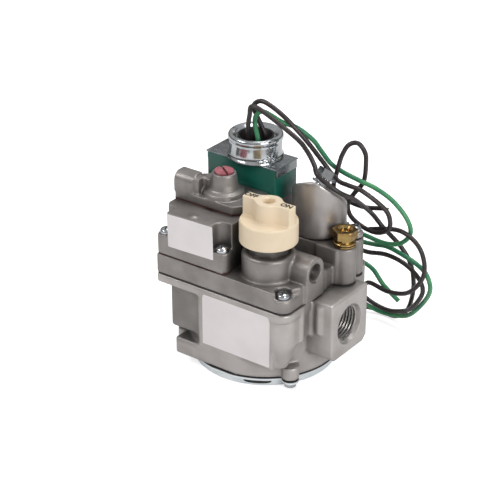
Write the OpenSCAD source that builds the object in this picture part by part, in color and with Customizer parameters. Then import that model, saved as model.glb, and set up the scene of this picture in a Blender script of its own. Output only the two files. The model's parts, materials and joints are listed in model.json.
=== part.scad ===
// Combination gas control valve: cast body with gas cock knob, servo regulator, solenoid
// coil, thermocouple safety valve and three loose leads.
// Millimetres. Z up, X along the pipe towards the outlet, Y towards the back.
// The origin is the middle of the bottom plate, where its centre line meets the resting plane.

/* [Body] */
// Width of the flange along the pipe
flange_w = 85; // [80:1:92]
// Depth of the flange across the pipe
flange_d = 84; // [80:1:90]
// Distance from the centre line to the inlet face
inlet_reach = 49.5; // [46:0.5:60]
// Distance from the centre line to the outlet face
outlet_reach = 55.5; // [52:0.5:66]
// Height of the pipe centre line above the resting plane
pipe_z = 35; // [34:0.5:37]
// Height of the joint between the body and the upper casting
split_z = 52.5; // [51:0.5:56]
// Tapped wall radius of the two pipe ports
pipe_r = 9.4; // [8.5:0.1:10.5]
// Depth of the two pipe ports
pipe_depth = 16; // [12:0.5:18]
// Width of the square outlet block
outlet_block_w = 34; // [30:0.5:38]

/* [Bottom] */
// Height of the pressed bottom cover
dish_h = 5.7; // [5:0.1:6.2]
// Thickness of the cover sheet
dish_t = 1.2; // [0.8:0.1:1.5]
// Thickness of the main diaphragm
diaphragm_t = 0.8; // [0.5:0.1:1.2]
// Travel of the main valve
main_travel = 2; // [1:0.1:2]

/* [Upper casting] */
// Thickness of the flange of the upper casting
flange_t = 11.2; // [9:0.1:13]
// Thickness of the body gasket
gasket_t = 0.8; // [0.5:0.1:1.2]
// Height of the raised deck above the flange
deck_rise = 10; // [8:0.5:12]
// Radius of the boss under the knob
cock_boss_r = 14.3; // [13:0.1:15]
// Height of the boss under the knob above the flange
cock_boss_h = 13.5; // [12:0.5:15]
// Tapped wall radius of the pressure tap
tap_r = 4.35; // [4:0.05:5]
// Radius of the pilot outlet boss
pilot_boss_r = 6.6; // [6:0.1:7.5]

/* [Knob] */
// Radius of the knob skirt
knob_r = 15.5; // [14.5:0.1:15.5]
// Height of the knob skirt
skirt_h = 12; // [9:0.5:14]
// Height of the grip bar above the skirt
grip_h = 10.3; // [6:0.1:12]
// Thickness of the grip bar
grip_t = 6; // [5:0.5:8]
// Radius of the grip hub
grip_hub_r = 7.2; // [6:0.1:8]
// Radius of the knob stem
stem_r = 3; // [2:0.1:3]
// Travel of the knob when pushed
knob_travel = 3; // [1.5:0.1:3]

/* [Regulator] */
// Height of the regulator block above its gasket
block_h = 25.6; // [22:0.1:28]
// Thickness of the flange of the regulator cover
cover_flange_t = 4.8; // [3.5:0.1:6]
// Radius of the spring tower
tower_r = 6.4; // [6:0.1:7]
// Height of the spring tower above the cover flange
tower_h = 12.5; // [10:0.1:14]
// Radius of the seal cap
cap_r = 5.2; // [4.8:0.1:5.4]

/* [Coil] */
// Width of the coil box
coil_w = 45; // [40:0.5:48]
// Depth of the coil box
coil_d = 20.6; // [18:0.1:22]
// Height of the coil box
coil_h = 18.5; // [17:0.5:20]
// Outer radius of the conduit hub
hub_r = 14.6; // [13.5:0.1:15]
// Radius of the opening in the conduit hub
hub_hole_r = 9.7; // [9:0.1:10.5]
// Height of the conduit hub
hub_h = 13.5; // [12:0.5:18]

/* [Safety valve] */
// Outer radius of the magnet dome
dome_r = 14.8; // [14:0.1:15]
// Height of the magnet dome above the deck
dome_h = 35; // [32:0.5:38]
// Lift of the safety valve
safety_lift = 3; // [1.5:0.1:3]

/* [Leads] */
// Diameter of each lead
lead_d = 2.6; // [1.8:0.1:2.8]

/* [Hidden] */
$fn = 48;
// radial clearance of a shaft that runs in its bore
run_fit = 0.05;
// clearance between pieces that move past each other
gap = 0.3;
// overrun of a cutting shape past the face it opens
over = 1;
// thickness of the thin gaskets and rubber sheets
sheet_t = 0.6;

// levels of the stacked castings, from the resting plane up
body_base_z = dish_h + diaphragm_t;
flange_z = split_z + gasket_t;
flange_top_z = flange_z + flange_t;
deck_z = flange_top_z + deck_rise;
block_z = flange_top_z + sheet_t;
block_top_z = block_z + block_h;
cover_z = block_top_z + sheet_t;
cover_top_z = cover_z + cover_flange_t;
tower_top_z = cover_top_z + tower_h;

// edges of the flange
left = -flange_w / 2;
right = flange_w / 2;
front = -flange_d / 2;
back = flange_d / 2;

// centre lines seen from above
cock_in = [23.6, 18];
dome_in = [19.5, 25.1];
pilot_in = 32.8;
pilot_out = 1.9;
column_in = 21.5;
column_out = 0.6;
coil_in = [24.6, 30.4];
tower_in = 24.7;
tower_wall = 14.5;
cock = [right - cock_in[0], front + cock_in[1]];
dome = [right - dome_in[0], back - dome_in[1]];
pilot = [right + pilot_out, back - pilot_in];
column = [right + column_out, back - column_in];
coil_x = left + coil_in[0];
coil_y = back - coil_in[1];
cover_back = coil_y - coil_d / 2 - gap;
tower = [left + tower_in, cover_back - tower_wall];
pipe_y = -1;

// corners of the body that carry screws
flange_r = 6;
screw_r = 1.7;
head_r = 3.5;
head_h = 3;
head_dome_r = 6;
ear_in = [5.4, 5.5];
back_screw_in = [12.5, 4.3];
ear_screws = [[right - ear_in[0], front + ear_in[1]], [left + ear_in[0], back - ear_in[1]]];
back_screw = [right - back_screw_in[0], back - back_screw_in[1]];
screw_bite = 8;
screw_end = 2;
hole_play = 0.2;
shank_play = 0.1;
flange_screws = concat(ear_screws, [back_screw]);
bevel_run = 8.5;
bevel_depth = 12;
ear_h = 7.5;
notch_z = flange_z + ear_h;
notch_run = 8;
notch_depth = 15.5;
far_cut = 9;

// lower casting
bowl_out = 0.3;
bowl_r = flange_d / 2 + bowl_out;
dish_in = 2.3;
dish_r = bowl_r - dish_in;
lip_h = 5;
wall_h = 21;
wall_r = 9;
wall_fade = 15;
wall_in = 0.7;
panel_in = 3.5;
panel_side = 5.7;
panel_drop = 31.5;
panel_r = 3;
panel_left = left + panel_side;
panel_z = split_z - panel_drop;
pad_side = 27.5;
pad_end = 8.9;
pad_drop = 35;
pad_depth = 14;
pad_left = left + pad_side;
pad_right = right - pad_end;
pad_z = split_z - pad_drop;
ledge_side = 11.4;
ledge_depth = 22;
ledge_left = left + ledge_side;
ledge_h = 10;
foot_ear_r = 4.8;
foot_ear_h = 8;
foot_turn = 36.6;
foot_ring_out = 1.3;
foot_ring_r = bowl_r + foot_ring_out;
foot_screws = [for (a = [-foot_turn, foot_turn, 180 - foot_turn, 180 + foot_turn])
               foot_ring_r * [cos(a), sin(a)]];
foot_hole_h = 7;
foot_bite = 6;
foot_head_r = 3.2;
foot_head_h = 2.7;
outlet_block_drop = 17;
outlet_block_shift = 0.2;
outlet_chamfer = 3;
inlet_boss_r = 15.5;
mouth_l = 1.6;
mouth_r = pipe_r + mouth_l;
port_step = 1.4;
port_step_r = pipe_r - port_step;
screen_t = 0.6;
screen_r = pipe_r - port_step / 3;
screen_hole_r = 0.8;
screen_pitch = 2.5;

// chambers of the lower casting
seat_r = 11;
seat_rise = 15.5;
seat_cover = 2;
seat_wall_z = body_base_z + seat_rise;
seat_wall_t = 5;
seat_lip = 1.5;
upper_chamber_r = 22;
upper_chamber_h = 20;
lower_chamber_wall = 8.3;
lower_chamber_r = bowl_r - lower_chamber_wall;
drop_r = 5;
drop_in = 3;
drop_floor = 2;
drop_x = -inlet_reach + pipe_depth + drop_in;

// main valve
valve_stem_r = 2;
valve_pad_z = seat_wall_z - seat_lip - gap;
valve_pad_t = 1.2;
valve_disc_t = 2;
valve_disc_r = seat_r + seat_cover;
valve_guide = 2;
valve_stem_room = 1.5;
valve_stem_top = seat_wall_z + seat_wall_t + upper_chamber_h + valve_guide;
backing_t = 1;
backing_r = 26;
washer_r = 9;
washer_t = 0.9;
stem_foot_room = 0.7;
stem_foot_z = dish_t + main_travel + stem_foot_room;
main_spring_foot_r = 12;
main_spring_top_r = 6;
main_wire = 0.4;

// gas cock and knob
cock_boss_round = 2;
chamber_r = 9.5;
chamber_neck_r = 7;
plug_sink = 0.5;
plug_z = flange_top_z - plug_sink;
plug_h = 7.5;
plug_port_r = 2;
bonnet_seat_h = 9.5;
bonnet_seat_z = flange_top_z + bonnet_seat_h;
bonnet_r = 11;
bonnet_neck_r = 10.3;
bonnet_neck_h = 4.2;
cock_top_z = flange_top_z + cock_boss_h;
bonnet_top_z = cock_top_z + bonnet_neck_h;
bonnet_roof_t = 2.9;
stem_collar_r = 5;
stem_collar_t = 1.5;
stem_collar_z = bonnet_top_z - bonnet_roof_t - gap - stem_collar_t;
stem_spring_z = plug_z + plug_h;
stem_spring_r = 4.2;
stem_wire = 0.35;
knob_rise = 5.7;
knob_z = cock_top_z + knob_rise;
skirt_top_z = knob_z + skirt_h;
knob_top_z = skirt_top_z + grip_h;
knob_wall = 1.8;
knob_roof_t = 2.2;
knob_hub_r = 6;
knob_edge_h = 0.8;
knob_edge_in = 0.5;
knob_hole_r = 3.45;
knob_hole_depth = 4;
knob_hole_floor = 1.6;
stem_top_z = knob_top_z - knob_hole_depth - knob_hole_floor;
stem_tip_r = 1.4;
stem_tip_h = 4;

// reset lever under the cock and the safety valve
slot_h = 9;
slot_z = flange_z + slot_h;
slot_end = 6.5;
slot_front = 8;
slot_back = 7;
slot_x0 = cock[0] - slot_end;
slot_x1 = dome[0] + slot_end;
lever_w = 9;
lever_end = 4;
lever_t = 1.5;
lever_x = (cock[0] + dome[0]) / 2;
pivot_y = (cock[1] + dome[1]) / 2;
pivot_rise = 3;
pivot_z = flange_z + pivot_rise;
pivot_r = 1.2;
pin_end = 1.8;
pin_hole_end = 2;
lever_hub_r = 2.4;
lever_rise = 2;
lever_top_z = pivot_z + lever_rise;
lever_play = 0.4;

// safety valve
safety_floor_t = 3.7;
safety_floor_z = slot_z + safety_floor_t;
safety_chamber_r = 11;
safety_stem_r = 1.6;
passage_r = 1.8;
passage_ring_r = 5;
safety_stem_z = lever_top_z + lever_play;
safety_disc_r = 9.9;
safety_disc_t = 2;
armature_r = 7;
armature_t = 1.5;
dome_cavity_r = 11.5;
dome_cavity_h = 15.5;
magnet_rim_t = 1.2;
magnet_rim_rise = 4.5;
magnet_rim_z = deck_z + magnet_rim_rise;
magnet_r = 8;
safety_spring_r = 8.8;
safety_wire = 0.4;
dome_round = 2.5;
dome_slope = 37;
dome_slope_turn = 68;
side_slope = 29;
side_slope_turn = 126;
slope_rise = 26.8;
slope_z = deck_z + slope_rise;
slope_cut = 30;
lug_h = 4;
lug_r = 5.2;
neck_w = 9.4;
neck_h = 3.5;
lug_bite = 7;
lug_hole = 8;
lug_off = [8, 17];
lug_screws = [column, [dome[0] - lug_off[0], dome[1] + lug_off[1]]];
deck_wall = 4;
deck_end = 9;
deck_front = 14.4;
pilot_front = 7.7;

// thermocouple fitting on the slope of the dome
fitting_out = 1;
fitting_r = 3.4;
fitting_h = 6;
fitting_collar_r = 5.6;
fitting_collar_h = 1.4;
fitting_nut = 10;
fitting_nut_z = 4;
fitting_nut_h = 4.5;
fitting_bore_r = 2.2;
fitting_tail = 5.5;
fitting_seat = 6;
fitting_bore_z = 2;

// regulator
block_side = 0.5;
block_front = 0.3;
block_in = 19;
knob_room = 1.4;
block_left = left + block_side;
block_right = cock[0] - knob_r - knob_room;
block_back = back - block_in;
block_edge_r = 1.5;
block_ear_h = 11.4;
block_ear_z = block_z + block_ear_h;
block_ear_r = 4.4;
pocket_r = 5;
pocket_front = 3;
corner_run = 7.6;
corner_depth = 11.2;
block_screw_in = [3.6, 3.1];
block_screw_front = 4.5;
block_screw_back = 4.2;
block_screws = [for (y = [front + block_screw_front, block_back + block_screw_back],
                     x = [block_left + block_screw_in[0], block_right - block_screw_in[1]]) [x, y]];
block_screw_bite = 9;
gasket_in = 0.4;
cover_ahead = 11.7;
cover_side = 0.9;
cover_end = 0.5;
cover_front = tower[1] - cover_ahead;
cover_left = block_left - cover_side;
cover_right = block_right - cover_end;
cover_corner_r = 2;
cover_corner_cut = 4;
arch_w = 12.8;
arch_h = 10.2;
arch_d = 9;
arch_r = 5;
web_t = 4;
web_h = 7.6;
ring_r = 10.9;
ring_h = 2.6;
ring_cone_h = 2;
spring_bore_r = 4.9;
cover_cavity_r = 10.4;
cover_cavity_h = 2.7;
reg_plate_r = 9;
reg_plate_t = 1;
reg_stem_r = 1.5;
reg_chamber_r = 12;
reg_floor_depth = 6.7;
reg_floor_z = block_top_z - reg_floor_depth;
reg_floor_t = 2;
reg_low_r = 6.5;
reg_low_h = 6;
reg_pad_r = 5;
reg_pad_t = 1.7;
reg_travel = 1;
adjuster_h = 2.5;
adjuster_drop = 4.6;
adjuster_z = tower_top_z - adjuster_drop;
adjuster_slot_w = 1.2;
adjuster_slot_h = 1;
reg_spring_r = 3.8;
reg_wire = 0.4;
cap_head_h = 1.3;
cap_plug_h = 1.6;
cap_slot_w = 1.4;
cap_slot_h = 0.8;
cap_slot_turn = -35;
cover_screw_in = [4, 13];
cover_screws = [for (x = [cover_left + cover_screw_in[0], cover_right - cover_screw_in[0]])
                [x, cover_back - cover_screw_in[1]]];
cover_screw_l = 9;
cover_head_r = 2.6;
cover_head_h = 1.8;
cover_screw_hole = 6;

// coil
coil_z = block_top_z;
coil_top_z = coil_z + coil_h;
coil_wall = 0.8;
top_plate_t = 0.9;
tab_h = 4.4;
tab_t = 0.8;
tab_in = 1;
lead_hole_in = 2.5;
hub_shift = [2.4, 0.2];
hub = [coil_x, coil_y] + hub_shift;
hub_z = coil_top_z + top_plate_t;
hub_top_z = hub_z + hub_h;
hub_flare = 0.9;
hub_flare_h = 2;
tube_r = 4.6;
tube_bore_r = 4;
tube_depth = 6;
tube_room = 0.9;
tube_z = block_top_z - tube_depth;
tube_top_z = coil_top_z - tube_room;
tube_flange_r = 7;
tube_flange_t = 1.2;
plunger_r = tube_bore_r - run_fit;
plunger_pad_t = 1.2;
plunger_z = tube_z + plunger_pad_t;
plunger_travel = 2;
plunger_room = 0.9;
pole_h = 6;
pole_z = tube_top_z - pole_h;
plunger_top_z = pole_z - plunger_travel - plunger_room;
plunger_spring_r = 2.6;
plunger_wire = 0.25;
winding_r = 9;
winding_rise = 4;
winding_z = coil_z + winding_rise;
winding_h = 12;
pilot_orifice_r = 1;

// pilot fitting
pilot_bore_r = 4;
pilot_depth = 12;
pilot_collar_r = 6;
pilot_collar_h = 2.6;
pilot_neck_r = 4.5;
pilot_neck_h = 2.2;
pilot_hex = 12.7;
pilot_hex_h = 4.7;
pilot_spigot_h = 2.6;
pilot_tube_r = 3.2;
pilot_way_r = 1.6;
pilot_end = 1;

// pressure tap
tap_out = 1.7;
tap_in = 24.6;
tap_rise = 16.1;
tap = [right + tap_out, front + tap_in, flange_z + tap_rise];
tap_arch_r = 8;
tap_depth = 10;
tap_way_r = 1.5;
tap_block_l = 16;
tap_foot_w = 13;

// labels
label_t = 0.25;
rating_w = 44;
rating_h = 30.6;
rating_side = 30.6;
rating_drop = 33.4;
rating_x = left + rating_side;
rating_z = split_z - rating_drop;
notice_w = 30;
notice_h = 19;
notice_side = 8.6;
notice_rise = 6.6;
notice_tilt = 1.5;
notice_x = left + notice_side;
notice_z = flange_top_z + notice_rise;

// leads: points of their centre lines, from the bushing to the bare end
bushing_h = 2.5;
ring_steps = 2;
front_route = [[-18, 8, 112.6], [-18, 8, 117], [-18, 8, 122], [-17, 8, 133], [-13, 8, 139.5],
               [12, 8, 129], [20, 8, 123], [25, 8, 116], [27, 8, 111], [33.5, 9, 106.5],
               [39, 13, 101.5], [41, 24, 94], [39, 44, 78], [44, 49, 68.5], [52, 54, 58],
               [58, 56, 48], [59, 59, 35], [56, 63, 21.5], [50, 68, 9.5], [42, 70, 2.5], [30, 71, 2.5],
               [16, 65, 6], [11, 60, 20], [19, 57, 43], [34, 53, 48.5], [46, 51, 51.5],
               [58, 50, 50], [67, 50, 44], [69, 52, 35], [61.5, 56.5, 22], [52, 62, 13], [38, 65, 8],
               [24, 64, 13], [30, 58, 26], [46, 54, 27], [62, 49, 34], [73, 45, 50], [71, 43, 66],
               [57, 45, 72], [38, 44, 68]];
loop_route = [[-12, 15, 112.6], [-12, 15, 117], [-12, 15, 122], [-16, 14, 131], [-18, 13, 137],
              [-14, 13, 141], [-8, 13, 140.5], [2, 14, 135], [12, 19, 123], [18, 26, 110],
              [25, 30, 99.5], [33, 30, 98], [41, 31, 96.5], [51, 38, 86], [54, 39, 79],
              [52, 40, 73], [45, 40, 69.5], [36, 40, 70.5], [28, 40, 75], [25, 42, 81],
              [29, 42, 88], [34, 43, 96], [35, 43, 108], [34.5, 42, 114], [31, 40.5, 118.5],
              [26.5, 38.5, 117], [24, 36, 111], [23, 33.5, 103], [20, 35, 94], [18, 40, 86],
              [22, 46, 80], [32, 48, 78], [46, 46, 82]];
green_route = [[-12, 9, 112.6], [-12, 9, 117], [-12, 9, 121], [-15.5, 11, 128], [-14.5, 11, 133.5],
               [-9.5, 11, 136.5], [0, 14, 132], [6, 20, 128], [12, 26, 120.5], [14, 31, 113],
               [18, 35, 105], [25, 37, 101], [34, 38, 98.5], [43, 41, 95], [52, 44, 89],
               [60, 46, 80], [62, 47.5, 71], [56, 48, 63], [46, 48, 60], [34, 48, 61], [24, 51, 60],
               [20, 57, 56], [24, 58, 51], [34, 55, 53], [45, 52, 56], [56, 49, 56], [65, 48, 54],
               [72, 48, 50], [75, 49, 43], [73, 52, 35], [66, 57, 24], [56, 62, 12], [46, 65, 6.5],
               [32, 66, 5], [20, 62, 12], [16, 58, 26], [22, 57, 38], [32, 58, 36], [40, 58, 28],
               [50, 59, 20]];

// plate with rounded corners, from its four edges
module rounded_plate(x0, x1, y0, y1, z, h, r) {
    translate([x0 + r, y0, z]) cube([x1 - x0 - 2 * r, y1 - y0, h]);
    translate([x0, y0 + r, z]) cube([x1 - x0, y1 - y0 - 2 * r, h]);
    for (x = [x0 + r, x1 - r], y = [y0 + r, y1 - r])
        translate([x, y, z]) cylinder(h = h, r = r);
}

// flange outline: round corners, a nearly sharp one at the front of the inlet side and a
// bevelled one at the back of the outlet side
module flange_plate(inset, z, h) {
    difference() {
        union() {
            rounded_plate(left + inset, right - inset, front + inset, back - inset, z, h, flange_r);
            rounded_plate(left + inset, 0, front + inset, 0, z, h, 1);
        }
        translate([0, 0, z - over]) linear_extrude(height = h + 2 * over)
            polygon([[right, back - bevel_depth], [right - bevel_run, back], [right + over, back + over]]);
    }
}

// box from its lowest corner to its highest corner
module block(x0, x1, y0, y1, z0, z1) {
    translate([x0, y0, z0]) cube([x1 - x0, y1 - y0, z1 - z0]);
}

// upright cylinder over a point seen from above
module post(p, z0, z1, r) {
    translate([p[0], p[1], z0]) cylinder(h = z1 - z0, r = r);
}

// upright ring with a bore
module ring(p, z0, z1, r, bore) {
    difference() {
        post(p, z0, z1, r);
        post(p, z0 - over, z1 + over, bore);
    }
}

// cylinder along X
module bar_x(x0, x1, y, z, r) {
    translate([x0, y, z]) rotate([0, 90, 0]) cylinder(h = x1 - x0, r = r);
}

// upright cylinder with a rounded top edge
module round_post(p, z0, z1, r, f) {
    post(p, z0, z1 - f, r);
    post(p, z0, z1, r - f);
    translate([p[0], p[1], z1 - f]) rotate_extrude() translate([r - f, 0]) circle(r = f);
}

// upright hexagon, size across flats
module hex_post(p, z0, z1, flats) {
    translate([p[0], p[1], z0]) cylinder(h = z1 - z0, r = flats / sqrt(3), $fn = 6);
}

// screw with a domed head that stands on a face, shank down
module pan_screw(p, z, shank) {
    translate([p[0], p[1], z]) {
        translate([0, 0, -shank]) cylinder(h = shank, r = screw_r - shank_play);
        intersection() {
            translate([0, 0, head_h - head_dome_r]) sphere(r = head_dome_r);
            cylinder(h = head_h, r = head_r);
        }
    }
}

// unit vector, and the tangent of a path at a point
function unit(v) = v / norm(v);
function tangent(path, i) = unit(path[min(i + 1, len(path) - 1)] - path[max(i - 1, 0)]);

// side vectors carried along a path without twist
function sides_along(path, i = 0, side = undef) =
    i >= len(path) ? [] :
    let (t = tangent(path, i))
    let (start = abs(t[2]) < 0.8 ? [0, 0, 1] : [1, 0, 0])
    let (raw = side == undef ? start : side)
    let (s = unit(raw - t * (raw * t)))
    concat([s], sides_along(path, i + 1, s));

// round tube along a path
module tube(path, r, n) {
    s = sides_along(path);
    last = len(path) - 1;
    points = [for (i = [0:last]) let (t = tangent(path, i), b = cross(t, s[i]))
              for (k = [0:n - 1]) path[i] + r * (cos(360 * k / n) * s[i] + sin(360 * k / n) * b)];
    walls = [for (i = [0:last - 1], k = [0:n - 1]) let (a = i * n + k, b = i * n + (k + 1) % n)
             each [[a, a + n, b], [b, a + n, b + n]]];
    start = [[for (k = [0:n - 1]) k]];
    end = [[for (k = [n - 1:-1:0]) last * n + k]];
    polyhedron(points = points, faces = concat(walls, start, end));
}

// smooth curve through the points of a route, and the tube of one lead along it
function blend(a, b, c, d, t) =
    (2 * b + (c - a) * t + (2 * a - 5 * b + 4 * c - d) * t ^ 2 + (3 * b - a - 3 * c + d) * t ^ 3) / 2;
function smooth(route) = let (last = len(route) - 1)
    concat([for (i = [0:last - 1], k = [0:ring_steps - 1])
            blend(route[max(i - 1, 0)], route[i], route[i + 1], route[min(i + 2, last)], k / ring_steps)],
           [route[last]]);
module lead(route) {
    tube(smooth(route), lead_d / 2, 8);
}

// coil of wire about an upright line, radius at its foot and at its top
module spring(p, z0, z1, r0, r1, turns, wire) {
    steps = turns * 12;
    path = [for (i = [0:steps]) let (u = i / steps, a = 30 * i, r = r0 + (r1 - r0) * u)
            [p[0] + r * cos(a), p[1] + r * sin(a), z0 + wire + (z1 - z0 - 2 * wire) * u]];
    tube(path, wire, 6);
}

// ---- lower casting ----

module body_shell() {
    flange_plate(0, split_z - lip_h, lip_h);
    rounded_plate(pad_left, right - wall_in, front + wall_in, back - wall_in, split_z - wall_h,
                  wall_h - over, wall_r);
    for (s = [-1, 1]) translate([right - wall_in - wall_r, s * (back - wall_in - wall_r), split_z - wall_h])
        rotate([180, 0, 0]) cylinder(h = wall_fade, r1 = wall_r, r2 = wall_r - wall_fade / 3);
    rounded_plate(panel_left, 0, front + panel_in, back - panel_in, panel_z,
                  split_z - panel_z - over, panel_r);
    block(pad_left, pad_right, front + wall_in, front + pad_depth, pad_z, split_z - over);
    block(ledge_left, 0, front + wall_in, front + ledge_depth, body_base_z, body_base_z + ledge_h);
    intersection() {
        post([0, 0], body_base_z, split_z - lip_h, bowl_r);
        block(-flange_w, flange_w, front + wall_in, back - wall_in, 0, split_z);
    }
    for (p = foot_screws) post(p, body_base_z, body_base_z + foot_ear_h, foot_ear_r);
}

module outlet_block() {
    y0 = pipe_y + outlet_block_shift - outlet_block_w / 2;
    y1 = y0 + outlet_block_w;
    z0 = pipe_z - outlet_block_drop;
    difference() {
        block(0, outlet_reach, y0, y1, z0, split_z);
        for (y = [y0, y1]) translate([0, y, z0]) rotate([45, 0, 0])
            block(-over, outlet_reach + over, -outlet_chamfer / sqrt(2), outlet_chamfer / sqrt(2),
                  -outlet_chamfer / sqrt(2), outlet_chamfer / sqrt(2));
    }
}

module pipe_port(face, way) {
    translate([face, pipe_y, pipe_z]) rotate([0, -90 * way, 0]) {
        translate([0, 0, -over]) cylinder(h = pipe_depth + over, r = pipe_r);
        translate([0, 0, -over]) cylinder(h = over + 0.01, r = mouth_r);
        cylinder(h = mouth_l, r1 = mouth_r, r2 = pipe_r);
    }
}

module lower_chambers() {
    post([0, 0], body_base_z - over, seat_wall_z - seat_lip, lower_chamber_r);
    ring([0, 0], body_base_z, seat_wall_z, lower_chamber_r, seat_r + seat_cover);
    post([0, 0], body_base_z, seat_wall_z + seat_wall_t + over, seat_r);
    post([0, 0], seat_wall_z + seat_wall_t, seat_wall_z + seat_wall_t + upper_chamber_h, upper_chamber_r);
    post([0, 0], seat_wall_z + seat_wall_t, valve_stem_top, valve_stem_r + run_fit);
    bar_x(0, outlet_reach - pipe_depth + over, pipe_y, pipe_z, port_step_r);
    bar_x(-inlet_reach + pipe_depth - over, drop_x, pipe_y, pipe_z, port_step_r);
    bar_x(-inlet_reach + pipe_depth - over, -inlet_reach + pipe_depth + screen_t, pipe_y, pipe_z, screen_r);
    post([drop_x, pipe_y], body_base_z + drop_floor, pipe_z, drop_r);
}

module lower_body() {
    color("#98948f") difference() {
        union() {
            body_shell();
            outlet_block();
            bar_x(-inlet_reach, 0, pipe_y, pipe_z, inlet_boss_r);
        }
        pipe_port(outlet_reach, 1);
        pipe_port(-inlet_reach, -1);
        lower_chambers();
        block(rating_x - gap, rating_x + rating_w + gap, front - over, front + wall_in, rating_z,
              rating_z + rating_h + gap);
        for (p = foot_screws) post(p, body_base_z - over, body_base_z + foot_hole_h, screw_r);
        for (p = concat(flange_screws, [block_screws[0]]))
            post(p, split_z - screw_bite - screw_end, split_z + over, screw_r);
    }
}

module inlet_screen() {
    wide = 2 * screen_pitch;
    color("#b9bcc0") translate([-inlet_reach + pipe_depth, pipe_y, pipe_z]) rotate([0, 90, 0])
        difference() {
            cylinder(h = screen_t, r = screen_r - 0.02);
            for (y = [-wide:screen_pitch:wide], z = [-wide:screen_pitch:wide])
                translate([z, y, -over]) cylinder(h = screen_t + 2 * over, r = screen_hole_r);
        }
}

// ---- bottom cover and main valve ----

module foot_outline(z0, z1) {
    intersection() {
        post([0, 0], z0, z1, bowl_r - 0.5);
        block(-flange_w, flange_w, front + wall_in, back - wall_in, z0 - over, z1 + over);
    }
    for (p = foot_screws) post(p, z0, z1, foot_ear_r - 0.2);
}

module bottom_plate() {
    color("#c9d2da") difference() {
        union() {
            foot_outline(dish_h - dish_t, dish_h);
            round_dish();
        }
        post([0, 0], dish_t, dish_h + over, dish_r - dish_t);
        for (p = foot_screws) post(p, 0, dish_h + over, screw_r);
    }
}

module round_dish() {
    f = 1.5;
    post([0, 0], f, dish_h, dish_r);
    post([0, 0], 0, dish_h, dish_r - f);
    translate([0, 0, f]) rotate_extrude() translate([dish_r - f, 0]) circle(r = f);
}

module main_diaphragm() {
    color("#2b2b2d") difference() {
        foot_outline(dish_h, body_base_z);
        post([0, 0], 0, body_base_z + over, valve_stem_r + gap);
        for (p = foot_screws) post(p, 0, body_base_z + over, screw_r);
    }
}

module diaphragm_backing() {
    color("#b8bcc0") ring([0, 0], body_base_z + gap, body_base_z + gap + backing_t, backing_r, valve_stem_r);
}

module valve_stem() {
    color("#c8a24a") {
        post([0, 0], stem_foot_z, valve_stem_top - valve_stem_room, valve_stem_r);
        post([0, 0], dish_h - gap - washer_t, dish_h - gap, washer_r);
    }
}

module valve_disc() {
    color("#b8bcc0") ring([0, 0], valve_pad_z - valve_pad_t - valve_disc_t, valve_pad_z - valve_pad_t,
                          valve_disc_r, valve_stem_r);
}

module valve_pad() {
    color("#2b2b2d") ring([0, 0], valve_pad_z - valve_pad_t, valve_pad_z, valve_disc_r, valve_stem_r);
}

module main_spring() {
    color("#c0c4c8") spring([0, 0], dish_t, dish_h - gap - washer_t, main_spring_foot_r,
                            main_spring_top_r, 3, main_wire);
}

module bottom_screws() {
    color("#cfd4d8") for (p = foot_screws) {
        post(p, dish_h - dish_t - foot_head_h, dish_h - dish_t, foot_head_r);
        post(p, dish_h - dish_t - 0.01, body_base_z + foot_bite, screw_r - shank_play);
    }
}

// ---- upper casting ----

module body_gasket() {
    color("#3a3836") difference() {
        union() {
            flange_plate(gasket_in, split_z, gasket_t);
            post(pilot, split_z, flange_z, pilot_boss_r);
            post(column, split_z, flange_z, lug_r);
        }
        lever_slot(split_z - over);
        for (p = concat(flange_screws, [block_screws[0]]))
            post(p, split_z - over, flange_z + over, screw_r + hole_play);
    }
}

module lever_slot(z0) {
    block(slot_x0, slot_x1, cock[1] - slot_front, dome[1] + slot_back, z0, slot_z);
}

module corner_cut(sx, sy) {
    x = sx * right;
    y = sy * back;
    translate([0, 0, notch_z]) linear_extrude(height = flange_t)
        polygon([[x - sx * notch_run, y + sy], [x + sx, y - sy * notch_depth],
                 [x + far_cut * sx, y - sy * notch_depth], [x + far_cut * sx, y + far_cut * sy],
                 [x - sx * notch_run, y + far_cut * sy]]);
}

module tap_block() {
    x0 = tap[0] - tap_block_l;
    block(x0, tap[0], tap[1] - tap_arch_r, tap[1] + tap_arch_r, flange_z, tap[2]);
    bar_x(x0, tap[0], tap[1], tap[2], tap_arch_r);
    block(x0, tap[0] - 1, tap[1] + tap_arch_r - over, tap[1] + tap_foot_w, flange_z, flange_top_z + 1);
}

module deck() {
    x1 = dome[0] + deck_end;
    block(dome[0] - dome_r - deck_wall, x1, dome[1] - deck_front, lug_screws[1][1],
          flange_top_z - over, deck_z);
    block(x1 - over, pilot[0], pilot[1] - pilot_front, column[1] + lug_r, flange_z, deck_z);
    post(pilot, flange_z, deck_z, pilot_boss_r);
    post(column, flange_z, deck_z, lug_r);
    post(lug_screws[1], flange_top_z - over, deck_z, lug_r);
}

module cock_cavity() {
    post(cock, slot_z - over, plug_z + over, chamber_neck_r);
    post(cock, plug_z - 0.1, bonnet_seat_z + over, chamber_r);
    post(cock, bonnet_seat_z, cock_top_z + over, bonnet_r);
}

module safety_cavity() {
    post(dome, safety_floor_z, deck_z + over, safety_chamber_r);
    post(dome, slot_z - over, safety_floor_z + over, safety_stem_r + run_fit);
    for (a = [45:90:315]) translate([dome[0], dome[1], slot_z - over]) rotate([0, 0, a])
        translate([passage_ring_r, 0, 0]) cylinder(h = safety_floor_t + 2 * over, r = passage_r);
}

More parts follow.
